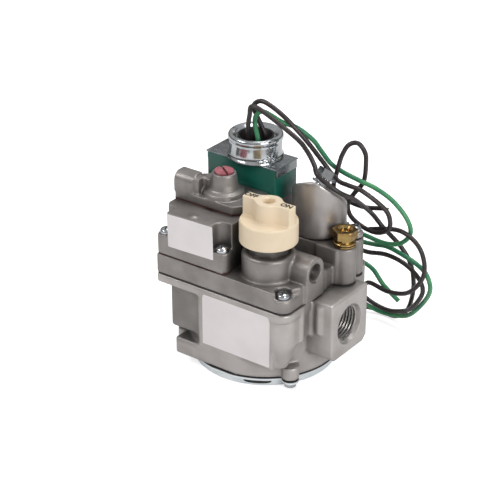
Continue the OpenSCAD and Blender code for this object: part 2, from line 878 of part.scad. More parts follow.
module upper_casting() {
    color("#a5a19c") difference() {
        union() {
            flange_plate(0, flange_z, flange_t);
            round_post(cock, flange_z, cock_top_z, cock_boss_r, cock_boss_round);
            tap_block();
            deck();
        }
        corner_cut(1, -1);
        corner_cut(-1, 1);
        for (p = ear_screws) post(p, notch_z, flange_top_z + over, head_r + 1);
        lever_slot(flange_z - over);
        cock_cavity();
        safety_cavity();
        bar_x(slot_x0 - pin_hole_end, slot_x1 + pin_hole_end, pivot_y, pivot_z, pivot_r);
        translate([tap[0], tap[1], tap[2]]) rotate([0, -90, 0]) {
            translate([0, 0, -over]) cylinder(h = tap_depth + over, r = tap_r);
            cylinder(h = tap[0] - cock[0] - chamber_r + over, r = tap_way_r);
        }
        post(pilot, deck_z - pilot_depth, deck_z + over, pilot_bore_r);
        for (p = flange_screws) post(p, flange_z - over, flange_top_z + over, screw_r + hole_play);
        for (p = block_screws) post(p, flange_z - over, flange_top_z + over, screw_r);
        for (p = lug_screws) post(p, deck_z - lug_hole, deck_z + over, screw_r);
    }
}

module corner_screws() {
    color("#d5d8da") {
        for (p = ear_screws) pan_screw(p, notch_z, ear_h + gasket_t + screw_bite);
        pan_screw(back_screw, flange_top_z, flange_t + gasket_t + screw_bite);
    }
}

// ---- knob, stem and gas cock ----

module knob() {
    color("#e9cfa2") difference() {
        union() {
            post(cock, knob_z, skirt_top_z - knob_edge_h, knob_r);
            translate([cock[0], cock[1], skirt_top_z - knob_edge_h])
                cylinder(h = knob_edge_h, r1 = knob_r, r2 = knob_r - knob_edge_in);
            intersection() {
                post(cock, knob_z, knob_top_z, knob_r - knob_edge_in);
                block(cock[0] - knob_r, cock[0] + knob_r, cock[1] - grip_t / 2, cock[1] + grip_t / 2,
                      skirt_top_z - over, knob_top_z);
            }
            post(cock, skirt_top_z - over, knob_top_z, grip_hub_r);
        }
        ring(cock, knob_z - over, skirt_top_z - knob_roof_t, knob_r - knob_wall, knob_hub_r);
        post(cock, knob_z - over, bonnet_top_z + knob_travel + gap, knob_r - knob_wall);
        post(cock, knob_top_z - knob_hole_depth, knob_top_z + over, knob_hole_r);
        post(cock, knob_z - over, stem_top_z, stem_r);
    }
}

module knob_stem() {
    color("#b9b4a6") {
        post(cock, lever_top_z + lever_play, lever_top_z + lever_play + stem_tip_h, stem_tip_r);
        post(cock, lever_top_z + lever_play + stem_tip_h, stem_top_z, stem_r);
        post(cock, stem_collar_z, stem_collar_z + stem_collar_t, stem_collar_r);
    }
}

module stem_bonnet() {
    color("#8a8884") difference() {
        union() {
            post(cock, bonnet_seat_z, cock_top_z, bonnet_r - 0.02);
            round_post(cock, bonnet_seat_z, bonnet_top_z, bonnet_neck_r, 1);
        }
        post(cock, bonnet_seat_z - over, bonnet_top_z - bonnet_roof_t, stem_collar_r + gap);
        post(cock, bonnet_seat_z - over, bonnet_top_z + over, stem_r + run_fit);
    }
}

module stem_spring() {
    color("#c0c4c8") spring(cock, stem_spring_z, stem_collar_z, stem_spring_r, stem_spring_r, 3, stem_wire);
}

module cock_plug() {
    color("#c8a24a") difference() {
        post(cock, plug_z, plug_z + plug_h, chamber_r - run_fit);
        post(cock, plug_z - over, plug_z + plug_h + over, stem_r + run_fit);
        bar_x(cock[0], cock[0] + chamber_r + over, cock[1], plug_z + plug_h / 2, plug_port_r);
    }
}

module reset_lever() {
    color("#b8bcc0") difference() {
        union() {
            block(lever_x - lever_w / 2, lever_x + lever_w / 2, cock[1] - lever_end, dome[1] + lever_end,
                  lever_top_z - lever_t, lever_top_z);
            bar_x(lever_x - lever_w / 2, lever_x + lever_w / 2, pivot_y, pivot_z, lever_hub_r);
        }
        bar_x(lever_x - lever_w, lever_x + lever_w, pivot_y, pivot_z, pivot_r + run_fit);
    }
}

module lever_pin() {
    color("#d0d3d6") bar_x(slot_x0 - pin_end, slot_x1 + pin_end, pivot_y, pivot_z, pivot_r);
}

// ---- safety valve ----

module magnet_dome() {
    color("#a9a5a1") difference() {
        union() {
            round_post(dome, deck_z, deck_z + dome_h, dome_r, dome_round);
            for (p = lug_screws) lug(p);
        }
        fitting_place() slope_cutter();
        translate([dome[0], dome[1], slope_z]) rotate([0, 0, side_slope_turn]) rotate([0, side_slope, 0])
            slope_cutter();
        post(dome, deck_z - over, deck_z + dome_cavity_h, dome_cavity_r);
        fitting_place() translate([0, 0, -fitting_seat]) cylinder(h = fitting_seat + over, r = fitting_r);
        for (p = lug_screws) post(p, deck_z - over, deck_z + lug_h + over, screw_r + hole_play);
    }
}

module slope_cutter() {
    translate([-slope_cut, -slope_cut, 0]) cube([2 * slope_cut, 2 * slope_cut, slope_cut]);
}

module lug(p) {
    way = atan2(p[1] - dome[1], p[0] - dome[0]);
    run = norm(p - dome);
    post(p, deck_z, deck_z + lug_h, lug_r);
    translate([dome[0], dome[1], deck_z]) rotate([0, 0, way]) translate([0, -neck_w / 2, 0])
        cube([run, neck_w, neck_h]);
}

// frame of the slope: its origin lies on the slope, its Z points out of it
module fitting_place() {
    translate([dome[0], dome[1], slope_z]) rotate([0, 0, dome_slope_turn]) rotate([0, dome_slope, 0])
        translate([fitting_out, 0, 0]) children();
}

module dome_screws() {
    color("#d5d8da") for (p = lug_screws) pan_screw(p, deck_z + lug_h, lug_h + lug_bite);
}

module magnet() {
    color("#7d8085") {
        post(dome, magnet_rim_z, magnet_rim_z + magnet_rim_t, dome_cavity_r - 0.02);
        post(dome, magnet_rim_z, deck_z + dome_cavity_h, magnet_r);
    }
}

module safety_disc() {
    color("#2b2b2d") ring(dome, safety_floor_z + gap, safety_floor_z + gap + safety_disc_t, safety_disc_r,
                          safety_stem_r);
}

module safety_armature() {
    top = magnet_rim_z - gap - safety_lift;
    color("#b8bcc0") {
        post(dome, safety_stem_z, top, safety_stem_r);
        post(dome, top - armature_t, top, armature_r);
    }
}

module safety_spring() {
    color("#c0c4c8") spring(dome, safety_floor_z + gap + safety_disc_t, magnet_rim_z, safety_spring_r,
                            safety_spring_r, 5, safety_wire);
}

module couple_socket() {
    color("#cfd2d4") fitting_place() difference() {
        union() {
            translate([0, 0, -fitting_tail]) cylinder(h = fitting_tail + fitting_h, r = fitting_r);
            cylinder(h = fitting_collar_h, r = fitting_collar_r);
        }
        translate([0, 0, -fitting_bore_z])
            cylinder(h = fitting_bore_z + fitting_h + over, r = fitting_bore_r);
    }
}

module couple_nut() {
    color("#d8dadc") fitting_place() difference() {
        translate([0, 0, fitting_nut_z]) cylinder(h = fitting_nut_h, r = fitting_nut / sqrt(3), $fn = 6);
        cylinder(h = fitting_h, r = fitting_r);
        cylinder(h = fitting_nut_z + fitting_nut_h + over, r = fitting_bore_r);
    }
}

// ---- regulator ----

module regulator_gasket() {
    color("#8c4a3c") difference() {
        union() {
            block(block_left + gasket_in, block_right - gasket_in, front + 1, block_back - gasket_in,
                  flange_top_z, block_z);
            block_ears(flange_top_z, block_z, block_ear_r - gasket_in);
        }
        for (p = block_screws) post(p, flange_top_z - over, block_z + over, screw_r + hole_play);
    }
}

module regulator_block() {
    color("#a09c97") difference() {
        union() {
            block_core();
            block_ears(block_z, block_ear_z, block_ear_r);
        }
        for (p = block_screws) post(p, block_z - over, block_ear_z + over, screw_r + hole_play);
        post(tower, reg_floor_z + reg_floor_t, block_top_z + over, reg_chamber_r);
        post(tower, reg_floor_z - over, reg_floor_z + reg_floor_t + over, reg_stem_r + 1);
        post(tower, reg_floor_z - reg_low_h, reg_floor_z, reg_low_r);
        post([coil_x, coil_y], tube_z, block_top_z + over, tube_r);
        post([coil_x, coil_y], block_z - over, tube_z, pilot_orifice_r);
        for (p = cover_screws) post(p, block_top_z - cover_screw_hole, block_top_z + over, screw_r);
    }
}

module block_ears(z0, z1, r) {
    for (p = block_screws) post(p, z0, z1, r);
    for (i = [2, 3])
        block(block_screws[i][0] - r, block_screws[i][0] + r, block_back - over, block_screws[i][1], z0, z1);
}

module block_core() {
    top = block_top_z + over;
    difference() {
        rounded_plate(block_left, block_right, front + block_front, block_back, block_z, block_h,
                      block_edge_r);
        translate([block_left, front + block_front, block_ear_z]) linear_extrude(height = block_h)
            polygon([[-over, -over], [corner_run, -over], [corner_run, 0], [0, corner_depth],
                     [-over, corner_depth]]);
        post(block_screws[0], block_ear_z, top, head_r + 0.4);
        post(block_screws[1], block_ear_z, top, pocket_r);
        block(block_screws[1][0], block_right + over, front - over, block_screws[1][1], block_ear_z, top);
        block(block_screws[1][0] - pocket_r, block_right + over, front - over, front + pocket_front,
              block_ear_z, top);
    }
}

module regulator_screws() {
    color("#d5d8da") for (p = block_screws)
        pan_screw(p, block_ear_z, block_ear_h + sheet_t + block_screw_bite);
}

module cover_outline(z0, z1) {
    difference() {
        rounded_plate(cover_left, cover_right, cover_front, cover_back, z0, z1 - z0, cover_corner_r);
        translate([cover_right, cover_front, z0 - over]) rotate([0, 0, 45])
            block(-2 * cover_corner_cut, 2 * cover_corner_cut, -cover_corner_cut, cover_corner_cut,
                  0, z1 - z0 + 2 * over);
    }
}

module regulator_diaphragm() {
    color("#7d4034") difference() {
        cover_outline(block_top_z, cover_z);
        post(tower, block_top_z - over, cover_z + over, reg_stem_r + gap);
        for (p = cover_screws) post(p, block_top_z - over, cover_z + over, screw_r + hole_play);
    }
}

module regulator_cover() {
    color("#b0aca7") difference() {
        union() {
            cover_outline(cover_z, cover_top_z);
            arch();
            post(tower, cover_top_z - over, cover_top_z + ring_h, ring_r);
            translate([tower[0], tower[1], cover_top_z + ring_h])
                cylinder(h = ring_cone_h, r1 = ring_r - 1, r2 = tower_r);
            post(tower, cover_top_z, tower_top_z, tower_r);
        }
        post(tower, cover_z - over, cover_z + cover_cavity_h, cover_cavity_r);
        post(tower, cover_z, tower_top_z + over, spring_bore_r);
        for (p = cover_screws) post(p, cover_z - over, cover_top_z + over, screw_r + hole_play);
    }
}

module arch() {
    x1 = cover_left + arch_w;
    y1 = cover_front + arch_d;
    top = cover_top_z + arch_h;
    block(cover_left, x1, cover_front, y1, cover_top_z - over, top - arch_r);
    block(cover_left, x1, cover_front + arch_r, y1, cover_top_z, top);
    bar_x(cover_left, x1, cover_front + arch_r, top - arch_r, arch_r);
    block(x1 - over, tower[0], tower[1] - web_t / 2, tower[1] + web_t / 2, cover_top_z - over,
          cover_top_z + web_h);
}

module cover_bolts() {
    color("#d5d8da") for (p = cover_screws) {
        post(p, cover_top_z - cover_screw_l, cover_top_z, screw_r - shank_play);
        post(p, cover_top_z, cover_top_z + cover_head_h, cover_head_r);
    }
}

module regulator_piston() {
    color("#b8bcc0") {
        post(tower, cover_z + gap, cover_z + gap + reg_plate_t, reg_plate_r);
        post(tower, reg_floor_z - 1 - reg_travel - reg_pad_t, cover_z + gap, reg_stem_r);
    }
}

module regulator_pad() {
    top = reg_floor_z - gap - reg_travel;
    color("#2b2b2d") ring(tower, top - reg_pad_t, top, reg_pad_r, reg_stem_r);
}

module regulator_spring() {
    color("#c0c4c8") spring(tower, cover_z + gap + reg_plate_t, adjuster_z, reg_spring_r, reg_spring_r,
                            6, reg_wire);
}

module adjusting_screw() {
    color("#c8a24a") difference() {
        post(tower, adjuster_z, adjuster_z + adjuster_h, spring_bore_r - run_fit);
        block(tower[0] - spring_bore_r, tower[0] + spring_bore_r, tower[1] - adjuster_slot_w / 2,
              tower[1] + adjuster_slot_w / 2, adjuster_z + adjuster_h - adjuster_slot_h,
              adjuster_z + adjuster_h + over);
    }
}

module seal_cap() {
    color("#c05a58") difference() {
        union() {
            post(tower, tower_top_z, tower_top_z + cap_head_h, cap_r);
            post(tower, tower_top_z - cap_plug_h, tower_top_z, spring_bore_r - run_fit);
        }
        translate([tower[0], tower[1], tower_top_z + cap_head_h - cap_slot_h]) rotate([0, 0, cap_slot_turn])
            block(-cap_r - over, cap_r + over, -cap_slot_w / 2, cap_slot_w / 2, 0, cap_slot_h + over);
    }
}

// ---- coil ----

module coil_box() {
    x0 = coil_x - coil_w / 2;
    y0 = coil_y - coil_d / 2;
    color("#1f5f50") difference() {
        block(x0, x0 + coil_w, y0, y0 + coil_d, coil_z, coil_top_z);
        block(x0 + coil_wall, x0 + coil_w - coil_wall, y0 + coil_wall, y0 + coil_d - coil_wall,
              coil_z + coil_wall, coil_top_z + over);
        post([coil_x, coil_y], coil_z - over, coil_z + coil_wall + over, tube_r);
    }
}

module top_plate() {
    x0 = coil_x - coil_w / 2;
    y0 = coil_y - coil_d / 2;
    color("#b9bdc0") difference() {
        union() {
            block(x0 - tab_t, x0 + coil_w + tab_t, y0, y0 + coil_d, coil_top_z, hub_z);
            for (x = [x0 - tab_t, x0 + coil_w])
                block(x, x + tab_t, y0 + tab_in, y0 + coil_d - tab_in, coil_top_z - tab_h, hub_z);
        }
        post(hub, coil_top_z - over, hub_z + over, hub_hole_r - lead_hole_in);
    }
}

module conduit_hub() {
    color("#c6c9cc") difference() {
        union() {
            post(hub, hub_z, hub_z + hub_flare_h, hub_r + hub_flare);
            round_post(hub, hub_z, hub_top_z, hub_r, 1.2);
        }
        post(hub, hub_z - over, hub_top_z + over, hub_hole_r);
    }
}

module lead_bushing() {
    color("#26272a") post(hub, hub_z, hub_z + bushing_h, hub_hole_r - 0.02);
}

module coil_winding() {
    color("#5a2f1c") ring([coil_x, coil_y], winding_z, winding_z + winding_h, winding_r, tube_r);
}

module plunger_tube() {
    color("#c9b27a") difference() {
        union() {
            post([coil_x, coil_y], tube_z, tube_top_z, tube_r - 0.02);
            post([coil_x, coil_y], coil_z + coil_wall, coil_z + coil_wall + tube_flange_t, tube_flange_r);
        }
        post([coil_x, coil_y], tube_z - over, tube_top_z + over, tube_bore_r);
    }
}

module pole_piece() {
    color("#8d9096") post([coil_x, coil_y], pole_z, tube_top_z, tube_bore_r - 0.02);
}

module plunger() {
    color("#a9adb2") post([coil_x, coil_y], plunger_z, plunger_top_z, plunger_r);
}

module plunger_pad() {
    color("#2b2b2d") post([coil_x, coil_y], tube_z + gap, plunger_z, plunger_r - 0.5);
}

module plunger_spring() {
    color("#c0c4c8") spring([coil_x, coil_y], plunger_top_z, pole_z, plunger_spring_r, plunger_spring_r, 3,
                            plunger_wire);
}

// ---- pilot outlet and labels ----

module pilot_fitting() {
    top = deck_z + pilot_collar_h + pilot_neck_h;
    color("#b98a3a") difference() {
        union() {
            post(pilot, deck_z - pilot_depth + pilot_end, deck_z, pilot_bore_r - 0.02);
            post(pilot, deck_z, deck_z + pilot_collar_h, pilot_collar_r);
            post(pilot, deck_z, top + pilot_spigot_h, pilot_neck_r);
        }
        post(pilot, deck_z - pilot_depth, top + pilot_spigot_h + over, pilot_way_r);
    }
}

module pilot_nut() {
    z0 = deck_z + pilot_collar_h + pilot_neck_h;
    color("#c39a45") difference() {
        hex_post(pilot, z0, z0 + pilot_hex_h, pilot_hex);
        post(pilot, z0 - over, z0 + pilot_spigot_h, pilot_neck_r);
        post(pilot, z0 - over, z0 + pilot_hex_h + over, pilot_tube_r);
    }
}

module rating_label() {
    y = front + wall_in;
    color("#e8e6e2") block(rating_x, rating_x + rating_w, y - label_t, y, rating_z, rating_z + rating_h);
}

module notice_label() {
    color("#efefef") translate([notice_x, front + block_front, notice_z]) rotate([0, -notice_tilt, 0])
        block(0, notice_w, -label_t, 0, 0, notice_h);
}

// ---- leads ----

module lead_black_front() {
    color("#2a2729") lead(front_route);
}

module lead_black_loop() {
    color("#2a2729") lead(loop_route);
}

module lead_green() {
    color("#2f7f5c") lead(green_route);
}

lower_body();
inlet_screen();
bottom_plate();
bottom_screws();
main_diaphragm();
diaphragm_backing();
valve_stem();
valve_disc();
valve_pad();
main_spring();
body_gasket();
upper_casting();
corner_screws();
knob();
knob_stem();
stem_bonnet();
stem_spring();
cock_plug();
reset_lever();
lever_pin();
magnet_dome();
dome_screws();
magnet();
safety_disc();
safety_armature();
safety_spring();
couple_socket();
couple_nut();
regulator_gasket();
regulator_block();
regulator_screws();
regulator_diaphragm();
regulator_cover();
cover_bolts();
regulator_piston();
regulator_pad();
regulator_spring();
adjusting_screw();
seal_cap();
coil_box();
top_plate();
conduit_hub();
lead_bushing();
coil_winding();
plunger_tube();
pole_piece();
plunger();
plunger_pad();
plunger_spring();
pilot_fitting();
pilot_nut();
rating_label();
notice_label();
lead_black_front();
lead_black_loop();
lead_green();
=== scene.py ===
"""Looks, light and camera for a combination gas control valve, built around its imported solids.

Everything is in metres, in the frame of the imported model: X along the pipe towards the
outlet, Y towards the back, Z up from the bottom plate. Sizes in the classes below are in
millimetres and are turned into metres where a piece is made.
"""

import json
import logging
import math
from collections.abc import Callable, Iterable, Sequence
from dataclasses import dataclass
from enum import Enum

import bmesh
import bpy
from bpy.types import Node, NodeSocket, NodeTree, Object
from mathutils import Matrix, Vector


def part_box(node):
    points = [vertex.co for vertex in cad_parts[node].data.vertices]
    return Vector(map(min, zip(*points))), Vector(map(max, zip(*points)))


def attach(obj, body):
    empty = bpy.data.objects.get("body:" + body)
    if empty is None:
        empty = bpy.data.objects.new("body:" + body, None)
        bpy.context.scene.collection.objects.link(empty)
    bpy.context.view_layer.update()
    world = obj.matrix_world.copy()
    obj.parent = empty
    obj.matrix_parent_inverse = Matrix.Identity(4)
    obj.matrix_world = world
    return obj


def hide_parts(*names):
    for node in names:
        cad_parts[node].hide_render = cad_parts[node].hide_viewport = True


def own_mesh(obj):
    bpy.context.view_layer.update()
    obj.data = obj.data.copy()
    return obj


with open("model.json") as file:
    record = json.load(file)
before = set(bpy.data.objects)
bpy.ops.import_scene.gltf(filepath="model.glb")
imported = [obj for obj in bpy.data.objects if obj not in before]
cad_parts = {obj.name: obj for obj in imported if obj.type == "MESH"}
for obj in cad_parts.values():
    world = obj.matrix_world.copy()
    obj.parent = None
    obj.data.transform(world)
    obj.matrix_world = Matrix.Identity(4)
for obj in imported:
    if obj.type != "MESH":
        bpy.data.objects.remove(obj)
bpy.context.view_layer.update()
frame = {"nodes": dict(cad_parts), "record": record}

Corner = tuple[float, float, float]
Turn = tuple[float, float]
Stop = tuple[float, str]

log = logging.getLogger("gas_valve")
MM = 0.001
UP = Vector((0, 0, 1))
SEAM_WELD = 0.002
NODE_WELD = 0.01
BRUSH_STRETCH = (1.0, 1.0, 0.06)
ROOM_TO_SQUASH = 1.2


def tone(code: str) -> tuple[float, float, float, float]:
    """Linear colour of a display colour written as six hex digits.

    Args:
        code: the colour as seen on a display, such as "a09c97".

    Returns:
        The linear colour with an alpha of 1.
    """
    parts = [int(code[i : i + 2], 16) / 255 for i in (0, 2, 4)]
    linear = [p / 12.92 if p < 0.04045 else ((p + 0.055) / 1.055) ** 2.4 for p in parts]
    return (*linear, 1.0)


# ---- shader nodes ----


def bare_tree(owner: bpy.types.Material | bpy.types.World) -> NodeTree:
    """The emptied node tree of a material or a world.

    Args:
        owner: the material or the world.

    Returns:
        Its tree, without a node.
    """
    owner.use_nodes = True
    owner.node_tree.nodes.clear()
    return owner.node_tree


def add_node(tree: NodeTree, kind: str, feeds: dict | None = None,
             **settings: object) -> Node:
    """Adds a shader node and fills its inputs.

    Args:
        tree: the tree it goes into.
        kind: its type, without the word ShaderNode.
        feeds: for each input, the value it holds or the socket that it is linked to.
        **settings: the node's own settings, which come before its inputs.

    Returns:
        The node.
    """
    made = tree.nodes.new("ShaderNode" + kind)
    for key, value in settings.items():
        setattr(made, key, value)
    for key, value in (feeds or {}).items():
        if isinstance(value, NodeSocket):
            tree.links.new(value, made.inputs[key])
        else:
            made.inputs[key].default_value = value
    return made


def add_ramp(tree: NodeTree, feed: NodeSocket,
             stops: Sequence[Stop]) -> NodeSocket:
    """Adds a colour ramp.

    Args:
        tree: the tree it goes into.
        feed: the value that runs along the ramp.
        stops: place and display colour of the first tone, the last one, and those between.

    Returns:
        The ramp's colour.
    """
    made = add_node(tree, "ValToRGB", {"Fac": feed})
    elements = made.color_ramp.elements
    for element, (at, code) in zip(list(elements), stops):
        element.position = at
        element.color = tone(code)
    for at, code in stops[2:]:
        elements.new(at).color = tone(code)
    return made.outputs["Color"]


def shade_by(tree: NodeTree, factor: object, colour: object, shade: object) -> NodeSocket:
    """Multiplies a colour by a shade."""
    feeds = {"Factor": factor, "A": colour, "B": shade}
    return add_node(tree, "Mix", feeds, data_type="RGBA", blend_type="MULTIPLY").outputs["Result"]


def end_by_ray(tree: NodeTree, kind: str, others: NodeSocket,
               seen: NodeSocket) -> None:
    """Ends a tree in one shader for the camera and another for all other light.

    Args:
        tree: the tree to end.
        kind: Material or World.
        others: the shader that lights and mirrors.
        seen: the shader that the camera sees.
    """
    rays = add_node(tree, "LightPath")
    mix = add_node(tree, "MixShader", {"Fac": rays.outputs["Is Camera Ray"], 1: others, 2: seen})
    add_node(tree, "Output" + kind, {"Surface": mix.outputs["Shader"]})


# ---- finishes ----


class Grain(Enum):
    """What the fine relief of a surface looks like."""

    CAST = "fine pits of a die casting"
    BRUSHED = "fine marks that run one way"
    SMOOTH = "hardly any relief"
    PEEL = "soft waves of a painted or moulded skin"


@dataclass(frozen=True)
class Finish:
    """A procedural finish: two tones in slow patches, fine grain in roughness and relief.

    Painted shade from ambient occlusion darkens corners and creases. The zone is a recessed part
    darkened with painted shade; it holds, in millimetres, the X it ends at, the Y it starts at,
    and the Z it starts and ends at.
    """

    name: str
    light: str
    dark: str
    metallic: float
    rough_low: float
    rough_high: float
    grain: Grain = Grain.SMOOTH
    patch_mm: float = 14.0
    grain_mm: float = 0.6
    relief_mm: float = 0.01
    soft_edge_mm: float = 0.0
    # painted shade: how strongly ambient occlusion darkens corners and creases
    corner_shade: float = 0.0
    coat: float = 0.0
    # painted shade: a box round a recessed face that is darkened, in millimetres
    recess_shade_zone: tuple[float, float, float, float] | None = None
    recess_shade: float = 0.55
    recess_shade_blur_mm: float = 0.3
    # how far the painted shade of corners reaches
    corner_shade_reach_mm: float = 9.0
    patch_span: tuple[float, float] = (0.36, 0.62)
    grain_span: tuple[float, float] = (0.3, 0.7)

    def material(self) -> bpy.types.Material:
        """The material of this finish, made once and shared.

        Returns:
            The node material.
        """
        known = bpy.data.materials.get(self.name)
        if known is not None:
            return known
        made = bpy.data.materials.new(self.name)
        tree = bare_tree(made)
        place = add_node(tree, "TexCoord").outputs["Object"]
        fine = self._noise(tree, place, self.grain_mm, 6.0)
        low, high = self.grain_span
        rough = add_node(tree, "MapRange", {
            "Value": fine, "From Min": low, "From Max": high,
            "To Min": self.rough_low, "To Max": self.rough_high,
        })
        shader = add_node(tree, "BsdfPrincipled", {
            "Base Color": self._colour(tree, place),
            "Metallic": self.metallic,
            "Coat Weight": self.coat,
            "Roughness": rough.outputs["Result"],
            "Normal": self._relief(tree, fine),
        })
        add_node(tree, "OutputMaterial", {"Surface": shader.outputs["BSDF"]})
        return made

    def _noise(self, tree: NodeTree, place: NodeSocket, size_mm: float,
               detail: float) -> NodeSocket:
        """A noise pattern, drawn out along Z where it is the grain of a brushed metal.

        Args:
            tree: the material's tree.
            place: the coordinates on the piece.
            size_mm: how far across its features are.
            detail: how many finer layers it has.

        Returns:
            The pattern's value.
        """
        brushed = self.grain is Grain.BRUSHED and size_mm == self.grain_mm
        scale = BRUSH_STRETCH if brushed else (1, 1, 1)
        mapping = add_node(tree, "Mapping", {"Vector": place, "Scale": scale})
        feeds = {"Vector": mapping.outputs["Vector"], "Scale": 1 / (size_mm * MM), "Detail": detail}
        return add_node(tree, "TexNoise", feeds).outputs["Fac"]

    def _colour(self, tree: NodeTree, place: NodeSocket) -> NodeSocket:
        """Patches between the two tones, with painted shade in corners and creases and over a recessed zone.

        Args:
            tree: the material's tree.
            place: the coordinates on the piece.

        Returns:
            The colour.
        """
        low, high = self.patch_span
        patches = self._noise(tree, place, self.patch_mm, 5.0)
        colour = add_ramp(tree, patches, ((low, self.dark), (high, self.light)))
        # painted shade from ambient occlusion in corners and creases
        if self.corner_shade > 0:
            corners = add_node(tree, "AmbientOcclusion", {"Distance": self.corner_shade_reach_mm * MM}, samples=6)
            colour = shade_by(tree, self.corner_shade, colour, corners.outputs["Color"])
        # painted shade over the recessed face
        if self.recess_shade_zone is not None:
            colour = shade_by(tree, self._in_recess_shade(tree, place), colour, (*[self.recess_shade] * 3, 1))
        return colour

    def _in_recess_shade(self, tree: NodeTree, place: NodeSocket) -> NodeSocket:
        """Whether a point lies in the recessed zone that gets painted shade.

        Args:
            tree: the material's tree.
            place: the coordinates on the piece.

        Returns:
            A value of 1 inside and 0 outside, blurred at the edges.
        """
        right, front, floor, top = self.recess_shade_zone
        split = add_node(tree, "SeparateXYZ", {"Vector": place})
        inside = 1.0
        for axis, edge, way in (("X", right, -1), ("Y", front, 1), ("Z", floor, 1), ("Z", top, -1)):
            blur = way * self.recess_shade_blur_mm
            side = add_node(tree, "MapRange", {
                "Value": split.outputs[axis], "From Min": (edge - blur) * MM, "From Max": (edge + blur) * MM,
            })
            feeds = {0: inside, 1: side.outputs["Result"]}
            inside = add_node(tree, "Math", feeds, operation="MULTIPLY").outputs["Value"]
        return inside

    def _relief(self, tree: NodeTree, fine: NodeSocket) -> NodeSocket:
        """Bump of the fine grain, over softened edges where asked for.

        Args:
            tree: the material's tree.
            fine: the grain's value.

        Returns:
            The normal.
        """
        feeds = {"Height": fine, "Distance": self.relief_mm * MM}
        if self.soft_edge_mm > 0:
            edge = add_node(tree, "Bevel", {"Radius": self.soft_edge_mm * MM}, samples=4)
            feeds["Normal"] = edge.outputs["Normal"]
        return add_node(tree, "Bump", feeds).outputs["Normal"]


# the body casting also gets painted shade on its recessed front-left face
CAST_BODY = Finish("body casting", "c1bcb9", "afa9a6", 0.7, 0.38, 0.54, Grain.CAST, 16, 0.5,
                   0.05, corner_shade=0.75,
                   recess_shade_zone=(-16.5, -41.2, 14.0, 52.0))
CAST_UPPER = Finish("upper casting", "9d9895", "8b8683", 0.7, 0.36, 0.52, Grain.CAST, 14, 0.5,
                    0.05, corner_shade=0.8)
CAST_DOME = Finish("dome casting", "b3aeac", "a19c9a", 0.75, 0.32, 0.44, Grain.CAST, 12, 0.4,
                   0.03, corner_shade=0.5)
THREAD = Finish("cut thread metal", "bdb9b6", "a6a29f", 0.9, 0.22, 0.34, Grain.SMOOTH, 6, 0.3,
                0.01, corner_shade=0.6)
# painted shade: a darker copy of the thread metal for the thread deep in the small tap hole
THREAD_SHADED = Finish("thread metal with painted shade", "77736f", "5f5b58", 0.8, 0.40, 0.55, Grain.SMOOTH, 4,
                     0.3, 0.01, corner_shade=0.8)
ZINC = Finish("bright zinc", "cdd0d3", "b4b8bc", 1.0, 0.08, 0.20, patch_mm=6, grain_mm=0.4,
              relief_mm=0.012)
ZINC_SATIN = Finish("satin zinc", "a4a8ab", "878c90", 1.0, 0.22, 0.38, patch_mm=7, grain_mm=0.5,
                    relief_mm=0.015,
                    soft_edge_mm=0.2)
ZINC_BLUE = Finish("bluish zinc sheet", "f1f5f7", "e2eaee", 0.4, 0.29, 0.31, patch_mm=10,
                   grain_mm=0.6, relief_mm=0.002)
STEEL = Finish("plain steel", "b4b6b9", "9b9ea2", 1.0, 0.25, 0.40, Grain.BRUSHED, 8, 0.4, 0.01,
               soft_edge_mm=0.2)
SPRING_WIRE = Finish("spring wire", "c8cacc", "adb0b3", 1.0, 0.16, 0.28, patch_mm=4, grain_mm=0.3)
BRASS = Finish("turned brass", "b49a66", "97794a", 1.0, 0.16, 0.30, Grain.BRUSHED, 5, 0.3, 0.01,
               soft_edge_mm=0.15)
BRASS_INNER = Finish("plain brass", "bd9750", "a5823f", 1.0, 0.24, 0.38, patch_mm=6, soft_edge_mm=0.2)
SINTERED = Finish("grey collar metal", "7d7a77", "666360", 0.7, 0.42, 0.58, Grain.CAST, 6, 0.4, 0.03,
                  soft_edge_mm=0.4, corner_shade=0.5)
MAGNET = Finish("dark magnet steel", "6e7074", "5a5c60", 0.8, 0.40, 0.55, patch_mm=6, soft_edge_mm=0.3)
CREAM = Finish("cream moulding", "e7d5ba", "e1ceb0", 0.0, 0.34, 0.44, Grain.PEEL, 20, 1.2, 0.01)
GREY_PLASTIC = Finish("grey moulding", "b5b0a5", "a6a196", 0.0, 0.40, 0.50, Grain.PEEL, 8, 0.8, 0.01)
RED_CAP = Finish("red moulding", "b0666f", "98505a", 0.0, 0.22, 0.34, Grain.PEEL, 4, 0.5, 0.02,
                 corner_shade=0.7)
GREEN_PAINT = Finish("dark green paint", "135f52", "0f5347", 0.0, 0.30, 0.40, Grain.PEEL, 18,
                     0.9, 0.015,
                     soft_edge_mm=0.3, coat=0.2)
INK = Finish("black ink", "1b1a1a", "131212", 0.0, 0.45, 0.60, patch_mm=3, grain_mm=0.2)
PAPER = Finish("bare label stock", "e8e2e3", "e1dbdc", 0.0, 0.42, 0.52, patch_mm=18,
               grain_mm=0.3, relief_mm=0.004)
GASKET = Finish("dark gasket sheet", "3c3936", "2d2b29", 0.0, 0.70, 0.85, patch_mm=5,
                grain_mm=0.3, relief_mm=0.02)
RED_SHEET = Finish("reddish gasket sheet", "5a362e", "462a24", 0.0, 0.60, 0.75, patch_mm=5,
                   grain_mm=0.4,
                   relief_mm=0.02)
RUBBER = Finish("black rubber", "2a2a2b", "1f1f20", 0.0, 0.55, 0.70, patch_mm=6, grain_mm=0.4)
BUSHING = Finish("black insert", "222021", "191718", 0.0, 0.50, 0.65, patch_mm=5, grain_mm=0.4,
                 relief_mm=0.03)
WINDING = Finish("varnished winding", "6d3a22", "52291a", 0.3, 0.30, 0.45, Grain.BRUSHED, 4, 0.3, 0.03)
LEAD_BLACK = Finish("black insulation", "383031", "292324", 0.0, 0.32, 0.42, patch_mm=9, grain_mm=0.5)
